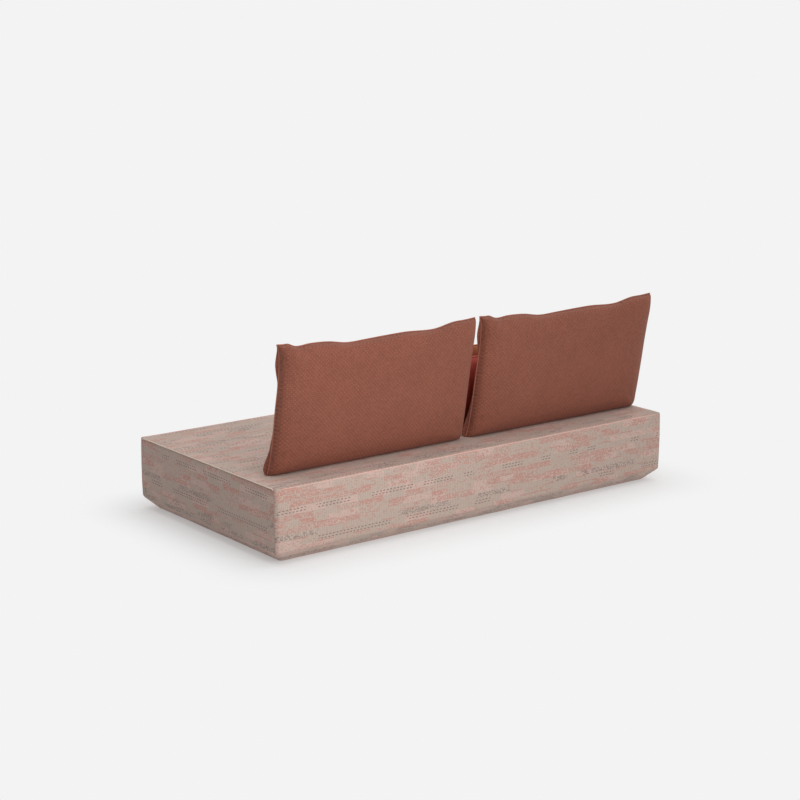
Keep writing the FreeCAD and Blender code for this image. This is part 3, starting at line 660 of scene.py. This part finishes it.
def seat_faces(verts, rows, grid):
    """Faces and map of the main cover and of the two end panels sewn into it."""
    kinds = [(kind, k) for _, _, kind, k in ring(0.0, CORNER_RADIUS)]
    run = profile_run()

    def main_spot(index, row, kind):
        """Place on the main cloth, which folds down over the edges of the top."""
        x, y, _ = verts[index]
        if kind in (RIGHT, LEFT):
            return (math.copysign(FLAT_X + run[row], x), y)
        return (x, math.copysign(FLAT_Y + run[row], y))

    parts = {"main": ([], []), "left": ([], []), "right": ([], [])}
    for row in range(len(rows) - 1):
        for i, (kind, k) in enumerate(kinds):
            j = (i + 1) % len(kinds)
            face = (rows[row][i], rows[row][j], rows[row + 1][j], rows[row + 1][i])
            levels = (row, row, row + 1, row + 1)
            if kind in (RIGHT, LEFT) and 1 <= k < LAST_END - 1 and row < SEAM_ROW:
                side = "right" if kind == RIGHT else "left"
                spots = [(verts[f].y + PANEL_U, run[n] + PANEL_V) for f, n in zip(face, levels)]
            else:
                side = "main"
                spots = [main_spot(f, n, kind) for f, n in zip(face, levels)]
            keep = [n for n in range(4) if face[n] != face[n - 1]]
            parts[side][0].append(tuple(face[n] for n in keep))
            parts[side][1].append([spots[n] for n in keep])
    for i in range(LAST_LONG):
        for j in range(LAST_END):
            face = (grid[i, j], grid[i + 1, j], grid[i + 1, j + 1], grid[i, j + 1])
            parts["main"][0].append(face)
            parts["main"][1].append([(verts[f].x, verts[f].y) for f in face])
    return parts


def build_seat():
    """Cover of the block: one piece over the top and the long sides, and a panel in each end."""
    verts, rows, grid = seat_points()
    parts = seat_faces(verts, rows, grid)
    whole = make_object("seat_form", verts, [face for faces, _ in parts.values() for face in faces])
    outward(whole)
    normals = np.array([v.normal for v in whole.data.vertices])
    moved = [soft_edge(v + Vector(n) * seat_relief(v, n)) for v, n in zip(verts, normals)]
    bpy.data.objects.remove(whole)
    made = {}
    for side, (faces, uvs) in parts.items():
        used = sorted({f for face in faces for f in face})
        short = {f: n for n, f in enumerate(used)}
        name = "seat_upholstery" if side == "main" else f"seat_end_panel_{side}"
        renumbered = [[short[f] for f in face] for face in faces]
        made[side] = make_object(name, [moved[f] for f in used], renumbered, uvs)
        paint(made[side], SEAT)
        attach(made[side], "seat")
    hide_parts("seat_cover_main", "seat_wadding", "foam_topper", "foam_core")
    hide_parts("seat_cover_end_left")
    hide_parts("seat_cover_end_right")


# Cords of the block: bend at the corners, how far each is sunk or raised, radii, and where the folds end
PIPING_BEND = 0.012
PIPING_SINK, PIPING_LIFT = 0.0006, 0.0034
SEAM_SINK, CORNER_SINK = 0.0012, 0.0004
PIPING_RADIUS, SEAM_RADIUS, CORNER_SEAM_RADIUS, FOLD_RADIUS = 0.0024, 0.0011, 0.0012, 0.0020
FOLD_END = 0.03


def seat_cord(name, path, radius, cloth):
    cord = tube(name, path, radius)
    paint(cord, cloth)
    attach(cord, "seat")


def seat_piping():
    """Piping on each end in a paler cloth as painted highlight, a dark cord under it as painted shadow, flat
    seams down the corners, and pale cords on the long edges' folds, partly painted highlight.
    """
    bend = PIPING_BEND
    for hand, side in (("left", 1), ("right", -1)):
        corner = []
        for inset, level in PROFILE[HEM_STEPS:SEAM_ROW]:
            if level < SEAM_LEVEL - bend:
                share = 1 if level >= KNEE_LEVEL else (HALF_Y - inset - CORNER_RADIUS) / FLAT_Y
                corner.append((side * (HALF_X - inset - CORNER_SINK), SEAM_Y * share, level))
        turn = []
        for a in QUARTER:
            y, z = SEAM_Y - bend * (1 - math.cos(a)), SEAM_LEVEL - bend + bend * math.sin(a)
            turn.append((side * HALF_X, y, z))
        stretch = np.linspace(SEAM_Y - bend, bend - SEAM_Y, 60)[1:-1]
        middle = [(side * HALF_X, y, SEAM_LEVEL) for y in stretch]
        mirror = [(x, -y, z) for x, y, z in reversed(turn)]
        seam = [(x - side * SEAM_SINK, y, z) for x, y, z in turn + middle + mirror]
        upper = turn[3:] + middle + mirror[:4]
        raised = [(x - side * PIPING_SINK, y, z + PIPING_LIFT) for x, y, z in upper]
        other = [(x, -y, z) for x, y, z in corner]
        # End piping in the paler cloth: painted highlight where the cord catches the light
        seat_cord(f"seat_end_piping_{hand}", raised, PIPING_RADIUS, SEAT_PIPING_HIGHLIGHT)
        # Dark cord under the piping: painted shadow line of the gap between the piping and the end panel
        seat_cord(f"seat_end_seam_shadow_{hand}", seam, SEAM_RADIUS, SEAT_SEAM_SHADOW)
        seat_cord(f"seat_corner_seam_{hand}_back", corner, CORNER_SEAM_RADIUS, SEAT)
        seat_cord(f"seat_corner_seam_{hand}_front", other, CORNER_SEAM_RADIUS, SEAT)
    inset = LONG_EDGE_RADIUS * (1 - math.sqrt(0.5))
    run = HALF_X - FOLD_END
    for hand, side in (("back", 1), ("front", -1)):
        path = [(x, side * (HALF_Y - inset), DECK - inset) for x in np.linspace(-run, run, 80)]
        # Pale cord along each long edge: partly a pale row of the weave, partly painted highlight on the fold
        seat_cord(f"seat_edge_fold_highlight_{hand}", path, FOLD_RADIUS, SEAT_FOLD_HIGHLIGHT)


build_seat()
seat_piping()


# Back cushions

# How far the edges are drawn in: the top from its left end, the sides from the foot up
TOP_DIP = smooth_curve(
    [
        (0.0, -0.004), (0.03, -0.001), (0.05, -0.001), (0.09, 0.013), (0.16, 0.010),
        (0.25, 0.014), (0.34, 0.028), (0.44, 0.026), (0.53, 0.023), (0.64, 0.021),
        (0.79, 0.026), (0.89, 0.009), (0.95, 0.007), (1.0, 0.003),
    ]
)
LEFT_DRAW = smooth_curve(
    [
        (0.0, 0.008), (0.04, 0.012), (0.08, 0.015), (0.15, 0.018), (0.3, 0.020), (0.5, 0.020),
        (0.68, 0.022), (0.82, 0.020), (0.9, 0.016), (0.95, 0.011), (0.98, 0.005), (1.0, 0.0),
    ]
)
RIGHT_DRAW = smooth_curve(
    [(0.0, 0.0), (0.15, -0.001), (0.4, 0.0), (0.6, 0.001), (0.85, -0.001), (0.95, -0.002), (1.0, -0.004)]
)
# How far the front panel bulges out past the left seam, from the foot up, and where
LEFT_BULGE = smooth_curve(
    [
        (0.0, 0.012), (0.05, 0.020), (0.1, 0.017), (0.16, 0.008), (0.25, 0.004),
        (0.36, -0.002), (0.5, -0.004), (0.6, -0.003), (0.7, 0.001), (0.78, 0.012),
        (0.85, 0.018), (0.91, 0.014), (0.96, 0.007), (1.0, 0.0),
    ]
)
BULGE_PLACE, BULGE_REACH, BULGE_START = 0.012, 0.016, 0.006
# Half thickness at a seam and a little away from it, and room left above the top
SEAM_HALF, EDGE_HALF, EDGE_REACH = 0.004, 0.007, 0.014
TOP_MARGIN = 0.0008
# Rounding of the foot, how far the cloth rolls over at the edges, and depth of that roll on the front
FOOT_ROUND, FRONT_FOOT_ROUND = 0.040, 0.022
SIDE_ROLL, RIGHT_SIDE_ROLL, TOP_ROLL, FRONT_ROLL = 0.100, 0.070, 0.085, 0.040
ROLL_DEPTH, FOOT_ROLL_DEPTH = 0.006, 0.010
# Swell of the rear panel, and the share of the height at which it is full
REAR_SWELL, REAR_SWELL_TOP = 0.018, 0.45
# Part of the underside over the mat and the zip: half length, rear and front, slope at its edge, and room
RAISED_HALF, RAISED_REAR, RAISED_FRONT, RAISED_SLOPE = 0.300, 0.329, 0.205, 0.012
MAT_GAP = 0.0002
# Seam: radius, and lift over the edge
WELT_RADIUS, WELT_LIFT = 0.0025, 0.0012
# Simulation: frames, what is held at the foot and near the seam, and how far the panels may move
SWELL_FRAMES = 20
HELD_FOOT, HELD_SEAM = 0.004, 0.010
PANEL_BLEND = 0.03
REAR_MOVE, FRONT_MOVE = 0.006, 0.024


def rolled(distance, reach, power=2.0):
    """Share of the full depth at a distance from a seam, boxier for a higher power."""
    near = 1 - share_of(distance, reach)
    return (1 - near**power) ** (1 / power)


def arc_bow(across, half, crown):
    """Height of a flat arc over its chord."""
    radius = (half**2 + crown**2) / (2 * crown)
    return math.sqrt(radius**2 - across**2) - (radius - crown)


def back_point(s, q, front):
    """Place across, level and depth of a back cushion's panel, for shares across and up."""
    half = BACK_WIDTH / 2
    draw = LEFT_DRAW(q) if s > 0 else RIGHT_DRAW(q)
    across = half * s - math.copysign(1, s) * draw * abs(s) ** 5
    height = q * (BACK_HEIGHT - TOP_MARGIN - TOP_DIP((1 - s) / 2))
    to_side, to_top = (1 - abs(s)) * half, (1 - q) * BACK_HEIGHT
    lip = SEAM_HALF + (EDGE_HALF - SEAM_HALF) * rolled(min(to_side, to_top), EDGE_REACH)
    if front:
        fullness = math.sqrt(max(0.0, 1 - q**1.6))
        bow = arc_bow(s * half, half, FRONT_CROWN)
        roll = (ROLL_DEPTH + FOOT_ROLL_DEPTH * (1 - q) ** 2) * rolled(to_side, FRONT_ROLL)
        depth = bow * fullness + roll * (1 - 0.8 * (1 - s * s)) * rolled(to_top, TOP_ROLL)
        if s > 0:
            bulge = LEFT_BULGE(q) * math.exp(-(((to_side - BULGE_PLACE) / BULGE_REACH) ** 2))
            across += bulge * min(1.0, to_side / BULGE_START)
    else:
        rise = 0.5 + 0.5 * min(1.0, q / REAR_SWELL_TOP)
        crown = REAR_CROWN + REAR_SWELL * rise * rise * (3 - 2 * rise)
        side = rolled(to_side, SIDE_ROLL, 3.0) if s > 0 else rolled(to_side, RIGHT_SIDE_ROLL)
        depth = crown * side * rolled(to_top, TOP_ROLL, 2.6)
    return across, height, lip + depth


def foot_level(p):
    """Underside of a back cushion over the deck: raised where the mat and the zip are."""
    inside = min(RAISED_HALF - abs(p[0]), RAISED_REAR - p[1], p[1] - RAISED_FRONT)
    share = min(1.0, max(0.0, inside / RAISED_SLOPE + 0.5))
    return FOOT_GAP + (MAT_THICKNESS + MAT_GAP - FOOT_GAP) * share


def back_panel(front):
    """Rows of points of one panel, from the top seam down and under to the bottom seam."""
    columns = crowded(count=124, amount=0.92)
    foot_round = FRONT_FOOT_ROUND if front else FOOT_ROUND
    low = foot_round / BACK_HEIGHT
    rises = [1.0, 0.995, 0.985, 0.97, 0.95, 0.93] + list(np.linspace(0.91, low, num=46))
    rows = [[back_point(s, q, front) for s in columns] for q in rises]
    for t in QUARTER[1:]:
        row = []
        for s in columns:
            across = back_point(s, low * (1 - math.sin(t)), front)[0]
            _, height, depth = back_point(s, low, front)
            curl = min(foot_round, depth * 0.7)
            row.append((across, height * (1 - math.sin(t)), depth - curl * (1 - math.cos(t))))
        rows.append(row)
    foot = rows[-1]
    for share in (0.72, 0.46, 0.22, 0.0):
        rows.append([(across, 0.0, depth * share) for across, _, depth in foot])
    return rows


def back_cushion_form():
    """Closed mesh of a back cushion about its own middle, with the numbers of the points on its seam."""
    verts, faces, sewn = [], [], set()
    index = {}

    def vertex(a, h, y):
        key = (round(a, 6), round(h, 6), round(y, 6))
        if key not in index:
            index[key] = len(verts)
            verts.append((a, y, DECK + h))
        return index[key]

    for front in (False, True):
        sign = -1 if front else 1
        ids = []
        for number, row in enumerate(back_panel(front)):
            line = []
            for k, (a, h, d) in enumerate(row):
                at_seam = number == 0 or k in (0, len(row) - 1)
                depth = 0.0 if at_seam else sign * d
                line.append(vertex(a, h, BACK_FOOT_Y + h * BACK_LEAN + depth))
                if at_seam:
                    sewn.add(line[-1])
            ids.append(line)
        for upper, lower in zip(ids, ids[1:]):
            for k in range(len(upper) - 1):
                face = [upper[k], upper[k + 1], lower[k + 1], lower[k]]
                face = [f for n, f in enumerate(face) if f != face[n - 1]]
                if len(set(face)) >= 3:
                    faces.append(face if front else list(reversed(face)))
    obj = make_object("back_form", verts, faces)
    outward(obj)
    return obj, sewn


def seam_path():
    """Seam of a back cushion, from one foot over the top to the other."""
    up = np.linspace(0.0, 1.0, num=70)
    places = [(-1.0, q) for q in up]
    places += [(s, 1.0) for s in np.linspace(-1.0, 1.0, num=130)[1:]]
    places += [(1.0, q) for q in up[-2::-1]]
    path = []
    for s, q in places:
        a, h, _ = back_point(s, q, False)
        path.append((a, BACK_FOOT_Y + h * BACK_LEAN, DECK + h + WELT_LIFT))
    return path


def planar_map(obj):
    """Map in metres as seen from the front: across and up."""
    mesh = obj.data
    layer = mesh.uv_layers.new(name="cloth")
    corner = np.zeros(len(mesh.loops), int)
    mesh.loops.foreach_get("vertex_index", corner)
    spots = coords(obj)[corner][:, (0, 2)]
    layer.uv.foreach_set("vector", spots.astype(np.float32).ravel())


def seam_tree(points):
    """Search tree over the points of a seam."""
    tree = kdtree.KDTree(len(points))
    for number, point in enumerate(points):
        tree.insert(point, number)
    tree.balance()
    return tree


def inflate(obj, sewn, cap, slack, pressure=0.4, give=0.02):
    """Swell a sewn cover by cloth simulation, held at its seam and foot, with each point kept within a cap."""
    activate(obj)
    start = coords(obj)
    near = seam_tree([start[number] for number in sewn])
    group = obj.vertex_groups.new(name="pin")
    loose = obj.vertex_groups.new(name="slack")
    for number, point in enumerate(start):
        to_seam = near.find(point)[2]
        hold = 1.0 if point[2] < DECK + HELD_FOOT else max(0.0, 1 - to_seam / HELD_SEAM)
        group.add([number], hold, "REPLACE")
        loose.add([number], slack(point), "REPLACE")
    cloth = obj.modifiers.new("cloth", "CLOTH")
    settings = cloth.settings
    settings.quality = 6
    settings.mass = 0.3
    settings.tension_stiffness = settings.compression_stiffness = 15
    settings.shear_stiffness = 5
    settings.bending_stiffness = 0.5
    settings.use_pressure = True
    settings.uniform_pressure_force = pressure
    settings.shrink_min = 0.0
    settings.shrink_max = -give
    settings.vertex_group_shrink = "slack"
    settings.vertex_group_mass = "pin"
    settings.effector_weights.gravity = 0
    cloth.collision_settings.use_collision = False
    cloth.point_cache.frame_start = 1
    cloth.point_cache.frame_end = SWELL_FRAMES
    for number in range(1, SWELL_FRAMES + 1):
        scene.frame_set(number)
    bpy.ops.object.modifier_apply(modifier="cloth")
    scene.frame_set(1)
    moved = coords(obj) - start
    far = np.linalg.norm(moved, axis=1, keepdims=True)
    limit = np.array([cap(p) for p in start])[:, None]
    set_coords(obj, start + moved * limit / (limit + far))
    obj.vertex_groups.clear()


def refine(obj, sewn):
    """One round of subdivision that keeps the seam where it is."""
    activate(obj)
    sharp = obj.data.attributes.new("crease_edge", "FLOAT", "EDGE")
    sharp.data.foreach_set("value", [float(sewn.issuperset(edge.vertices)) for edge in obj.data.edges])
    rounder = obj.modifiers.new("rounder", "SUBSURF")
    rounder.levels = rounder.render_levels = 1
    bpy.ops.object.modifier_apply(modifier="rounder")
    obj.data.polygons.foreach_set("use_smooth", [True] * len(obj.data.polygons))


def settle(obj, level):
    """Keep a cushion above the deck by what the level function says."""
    co = coords(obj)
    for p in co:
        p[2] = max(p[2], DECK + level(p))
    set_coords(obj, co)


def front_share(p):
    """One on the front panel of a back cushion, none on the rear one."""
    return share_of(BACK_FOOT_Y + (p[2] - DECK) * BACK_LEAN - p[1], PANEL_BLEND)


def back_cap(p):
    """About how far the swelling may move a point: little on the taut rear panel, more on the front."""
    return REAR_MOVE + FRONT_MOVE * front_share(p)


def add_back_cushions():
    """Both back cushions, from one form that is stretched a little to the height of each."""
    form, sewn = back_cushion_form()
    inflate(form, sewn, back_cap, front_share)
    refine(form, sewn)
    settle(form, foot_level)
    planar_map(form)
    for hand, centre in BACK_CENTRES.items():
        body = f"back_cushion_{hand}"
        cushion = form.copy()
        cushion.data = form.data.copy()
        cushion.name = f"{body}_pillow"
        cushion.data.name = cushion.name
        scene.collection.objects.link(cushion)
        rise = BACK_STRETCH[hand]
        stretch = Matrix.Diagonal((1, 1, rise, 1)) @ Matrix.Translation((0, 0, -DECK))
        cushion.data.transform(Matrix.Translation((centre, 0, DECK)) @ stretch)
        paint(cushion, TERRACOTTA)
        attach(cushion, body)
        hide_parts(f"{body}_cover", f"{body}_filling")
        path = [(x + centre, y, DECK + (z - DECK) * rise) for x, y, z in seam_path()]
        welt = tube(f"{body}_seam", path, WELT_RADIUS)
        # Lighter welt cloth: painted highlight along the seam
        paint(welt, TERRACOTTA_SEAM_HIGHLIGHT)
        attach(welt, body)
    bpy.data.objects.remove(form)


add_back_cushions()


# Lumbar cushions

# Steps across and up, radius of the seam, and how far the foot is drawn in and the swelling may go
LUMBAR_COLUMNS, LUMBAR_ROWS, LUMBAR_CROWDING = 72, 48, 0.9
LUMBAR_SEAM_RADIUS = 0.0024
LUMBAR_FOOT_DRAW = 0.003
LUMBAR_MOVE = 0.012
# Half thickness at the edge, and what the full middle leaves out of the thickness
LUMBAR_EDGE, LUMBAR_SPARE = 0.0035, 0.004
# Height of the creases, and height, pitch and reach of the puckers along the seam
CREASE_HEIGHT = 0.003
GATHER_HEIGHT, GATHER_PITCH, GATHER_REACH = 0.0016, 0.034, 0.012


def lumbar_point(s, t, side, height, seed):
    """Place across, level and depth of a lumbar cushion's panel, for shares across and up."""
    half = LUMBAR_WIDTH / 2
    across = s * (half - LUMBAR_SIDE_DRAW * (1 - t * t))
    draw = LUMBAR_TOP_DRAW if t > 0 else LUMBAR_FOOT_DRAW
    level = height / 2 + t * (height / 2 - draw * (1 - s * s))
    fat = ((1 - s * s) * (1 - t * t)) ** 0.5
    fat = 0.92 * fat + 0.08 * ((1 - s**8) * (1 - t**8)) ** 0.5
    wrinkle = CREASE_HEIGHT * ripple((s * 3, t * 2, side), 0.4, seed) * (1 - fat)
    to_side, to_end = (1 - abs(s)) * half, (1 - abs(t)) * height / 2
    near = min(to_side, to_end)
    along = across if to_end < to_side else level
    gather = math.sin(2 * math.pi * along / GATHER_PITCH + 3 * ripple((along, side, 0), 0.08, seed))
    wrinkle += GATHER_HEIGHT * gather * near / GATHER_REACH * math.exp(1 - near / GATHER_REACH)
    return across, level, LUMBAR_EDGE + (LUMBAR_THICKNESS / 2 - LUMBAR_SPARE) * fat + wrinkle


def lumbar_form(name, x, y, height, seed):
    """Plump knife-edged pillow that leans back on what stands behind it."""
    columns, rows = LUMBAR_COLUMNS, LUMBAR_ROWS
    verts, faces, ids = [], [], {}
    lean_s, lean_c = math.sin(LUMBAR_LEAN), math.cos(LUMBAR_LEAN)
    for side in (1, -1):
        for i, s in enumerate(crowded(columns, LUMBAR_CROWDING)):
            for j, t in enumerate(crowded(rows, LUMBAR_CROWDING)):
                edge = i in (0, columns) or j in (0, rows)
                if edge and side < 0:
                    ids[side, i, j] = ids[1, i, j]
                    continue
                across, level, depth = lumbar_point(s, t, side, height, seed)
                depth = 0 if edge else side * depth
                z = DECK + level * lean_c - depth * lean_s
                ids[side, i, j] = len(verts)
                verts.append((x + across, y + level * lean_s + depth * lean_c, max(z, DECK + FOOT_GAP)))
        for i in range(columns):
            for j in range(rows):
                face = (ids[side, i, j], ids[side, i + 1, j], ids[side, i + 1, j + 1], ids[side, i, j + 1])
                faces.append(face if side < 0 else tuple(reversed(face)))
    obj = make_object(name, verts, faces)
    outward(obj)
    edge_ids = [ids[1, i, 0] for i in range(columns + 1)]
    edge_ids += [ids[1, columns, j] for j in range(1, rows + 1)]
    edge_ids += [ids[1, i, rows] for i in range(columns - 1, -1, -1)]
    edge_ids += [ids[1, 0, j] for j in range(rows - 1, 0, -1)]
    inflate(obj, set(edge_ids), lambda p: LUMBAR_MOVE, lambda p: 1.0, pressure=4.0, give=0.03)
    refine(obj, set(edge_ids))
    settle(obj, lambda p: FOOT_GAP)
    return obj, [verts[k] for k in edge_ids]


def add_lumbar_cushions():
    for hand, x, tall, cloth, slot, seed in (
        ("rear", -0.230, 0.310, RED, "lumbar_red_cloth", 4.0),
        ("front", -0.480, 0.326, ORANGE, "lumbar_orange_cloth", 9.0),
    ):
        body = f"lumbar_{hand}"
        low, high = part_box(f"{body}_cover")
        y = (low.y + high.y) / 2 - tall / 2 * math.sin(LUMBAR_LEAN)
        pillow, edge = lumbar_form(f"{body}_pillow", x, y, tall, seed)
        planar_map(pillow)
        paint(pillow, cloth)
        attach(pillow, body)
        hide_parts(f"{body}_cover", f"{body}_pad")
        welt = tube(f"{body}_seam", edge, LUMBAR_SEAM_RADIUS, closed=True)
        paint(welt, cloth)
        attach(welt, body)


add_lumbar_cushions()


# Underside cloth

# Steps along and across, room under the rails, sag in the middle and height of the waves
DUST_COLUMNS, DUST_ROWS = 80, 40
DUST_GAP, DUST_SAG, DUST_WAVE = 0.0004, 0.0012, 0.0004


def add_dust_cover():
    """Thin black cloth stretched under the frame, a little slack between the rails."""
    low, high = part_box("dust_cover")
    nx, ny = DUST_COLUMNS, DUST_ROWS
    verts, faces = [], []
    for i in range(nx + 1):
        for j in range(ny + 1):
            s, t = i / nx, j / ny
            x, y = low.x + (high.x - low.x) * s, low.y + (high.y - low.y) * t
            arc_s, arc_t = math.sin(math.pi * s), math.sin(math.pi * t)
            sag = DUST_SAG * arc_s**0.5 * arc_t**0.5
            sag += DUST_WAVE * ripple((x, y, 0), 0.09, 6.0) * arc_s * arc_t
            verts.append((x, y, high.z - DUST_GAP - sag))
    for i in range(nx):
        for j in range(ny):
            a = i * (ny + 1) + j
            faces.append((a, a + 1, a + ny + 2, a + ny + 1))
    cloth = make_object("underside_cloth", verts, faces)
    paint(cloth, DUST)
    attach(cloth, "seat")
    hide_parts("dust_cover")


add_dust_cover()


# Finishes of the solids that stay

for row in frame["record"]["subparts"]:
    finish = FINISHES.get(row["material_slot"])
    if finish:
        paint(nodes[row["node"]], finish)


# Floor, light and camera

PALE = srgb(243, 243, 243)
FLOOR_HALF = 60
# Own brightness of the floor: its share next to the block, and the distance at which it has changed
SHOWN_NEAR, SHOWN_REACH = 0.34, 0.36
# Glow met only by light bouncing off the floor, strongest next to the block: painted bounce light on the bevel
# and ends from below
THROWN_NEAR, THROWN_REACH = 0.30, 0.6
# Way in which the sky grows brighter, and its darkest and brightest level
SKY_LEAN = (-0.62, 0.0, 1.20)
SKY_DARK, SKY_BRIGHT = 0.04, 1.42
LAMP_PLACE, LAMP_TARGET = (0.75, 2.1, 0.95), (0.30, 0.35, 0.45)
CAMERA_PLACE, CAMERA_TARGET = (4.7225, 6.112, 2.2233), (-0.2489, -0.3751, 0.30)


def seen_directly(tree):
    """One for what the camera sees, straight or in a mirror or through glass."""
    path = tree.nodes.new("ShaderNodeLightPath")
    rays = ("Is Camera Ray", "Is Glossy Ray", "Is Transmission Ray")
    camera, mirror, glass = (Value(tree, path.outputs[ray]) for ray in rays)
    return camera.maths("MAXIMUM", mirror).maths("MAXIMUM", glass)


def show_mix(tree, share, first, second, output):
    choose = fed(tree, "ShaderNodeMixShader", (share, first, second))
    plug(tree, tree.nodes[output], {"Surface": choose})


def place_aimed(obj, place, target):
    obj.location = place
    aim = Vector(target) - obj.location
    obj.rotation_euler = aim.to_track_quat("-Z", "Y").to_euler()
    scene.collection.objects.link(obj)


def add_floor():
    """Pale floor that gives some brightness itself, so that the shadow on it stays faint, and glows near the
    block as painted bounce light on the bevel.
    """
    corners = ((-1, -1), (1, -1), (1, 1), (-1, 1))
    floor = make_object("floor", [(FLOOR_HALF * x, FLOOR_HALF * y, 0) for x, y in corners], [(0, 1, 2, 3)])
    material, tree, shader = new_material("floor")
    place = object_place(tree)
    tint = place.clouds(0.4, 1.0).mixed(srgb(230, 230, 230), srgb(230.6, 230.6, 230.6))
    plug(tree, shader, {"Base Color": tint, "Roughness": 0.9, "Specular IOR Level": 0.0})
    glow = fed(tree, "ShaderNodeEmission", {"Color": PALE})
    beside = []
    for along, half in zip(place.parts(), (HALF_X - BEVEL_INSET, HALF_Y - BEVEL_INSET)):
        over = along.maths("ABSOLUTE") - half
        beside.append(over.maths("MAXIMUM", 0.0).maths("POWER", 2.0))
    distance = (beside[0] + beside[1]).maths("SQRT")
    seen = seen_directly(tree)
    shown = seen * distance.ranged(0.0, SHOWN_REACH, SHOWN_NEAR, 1.0)
    thrown = (1.0 - seen) * distance.ranged(0.0, THROWN_REACH, THROWN_NEAR, 0.0)
    show_mix(tree, shown + thrown, Value(tree, shader.outputs[0]), glow, "Material Output")
    paint(floor, material)


def add_light():
    """Soft sky, brightest overhead and towards the right, and a low lamp behind the left cushion."""
    world = bpy.data.worlds.new("studio")
    scene.world = world
    world.use_nodes = True
    tree = world.node_tree
    sky = tree.nodes["Background"]
    way = fed(tree, "ShaderNodeTexCoord", output="Generated")
    lean = fed(tree, "ShaderNodeVectorMath", (way, SKY_LEAN), "Value", operation="DOT_PRODUCT")
    strength = lean.ranged(-0.16, 1.3, SKY_DARK, SKY_BRIGHT, "LINEAR")
    plug(tree, sky, {"Color": (1.0, 1.0, 1.0, 1.0), "Strength": strength})
    plain = fed(tree, "ShaderNodeBackground", {"Color": PALE})
    show_mix(tree, seen_directly(tree), Value(tree, sky.outputs[0]), plain, "World Output")

    lamp = bpy.data.lights.new("near_lamp", "AREA")
    lamp.energy = 11.4
    lamp.size = 0.9
    holder = bpy.data.objects.new("near_lamp", lamp)
    holder.visible_camera = False
    place_aimed(holder, LAMP_PLACE, LAMP_TARGET)


def add_camera():
    view = bpy.data.cameras.new("photo_view")
    view.lens = 85.0
    view.sensor_width = 36.0
    camera = bpy.data.objects.new("photo_view", view)
    place_aimed(camera, CAMERA_PLACE, CAMERA_TARGET)
    scene.camera = camera


add_floor()
add_light()
add_camera()
scene.view_settings.view_transform = "Standard"
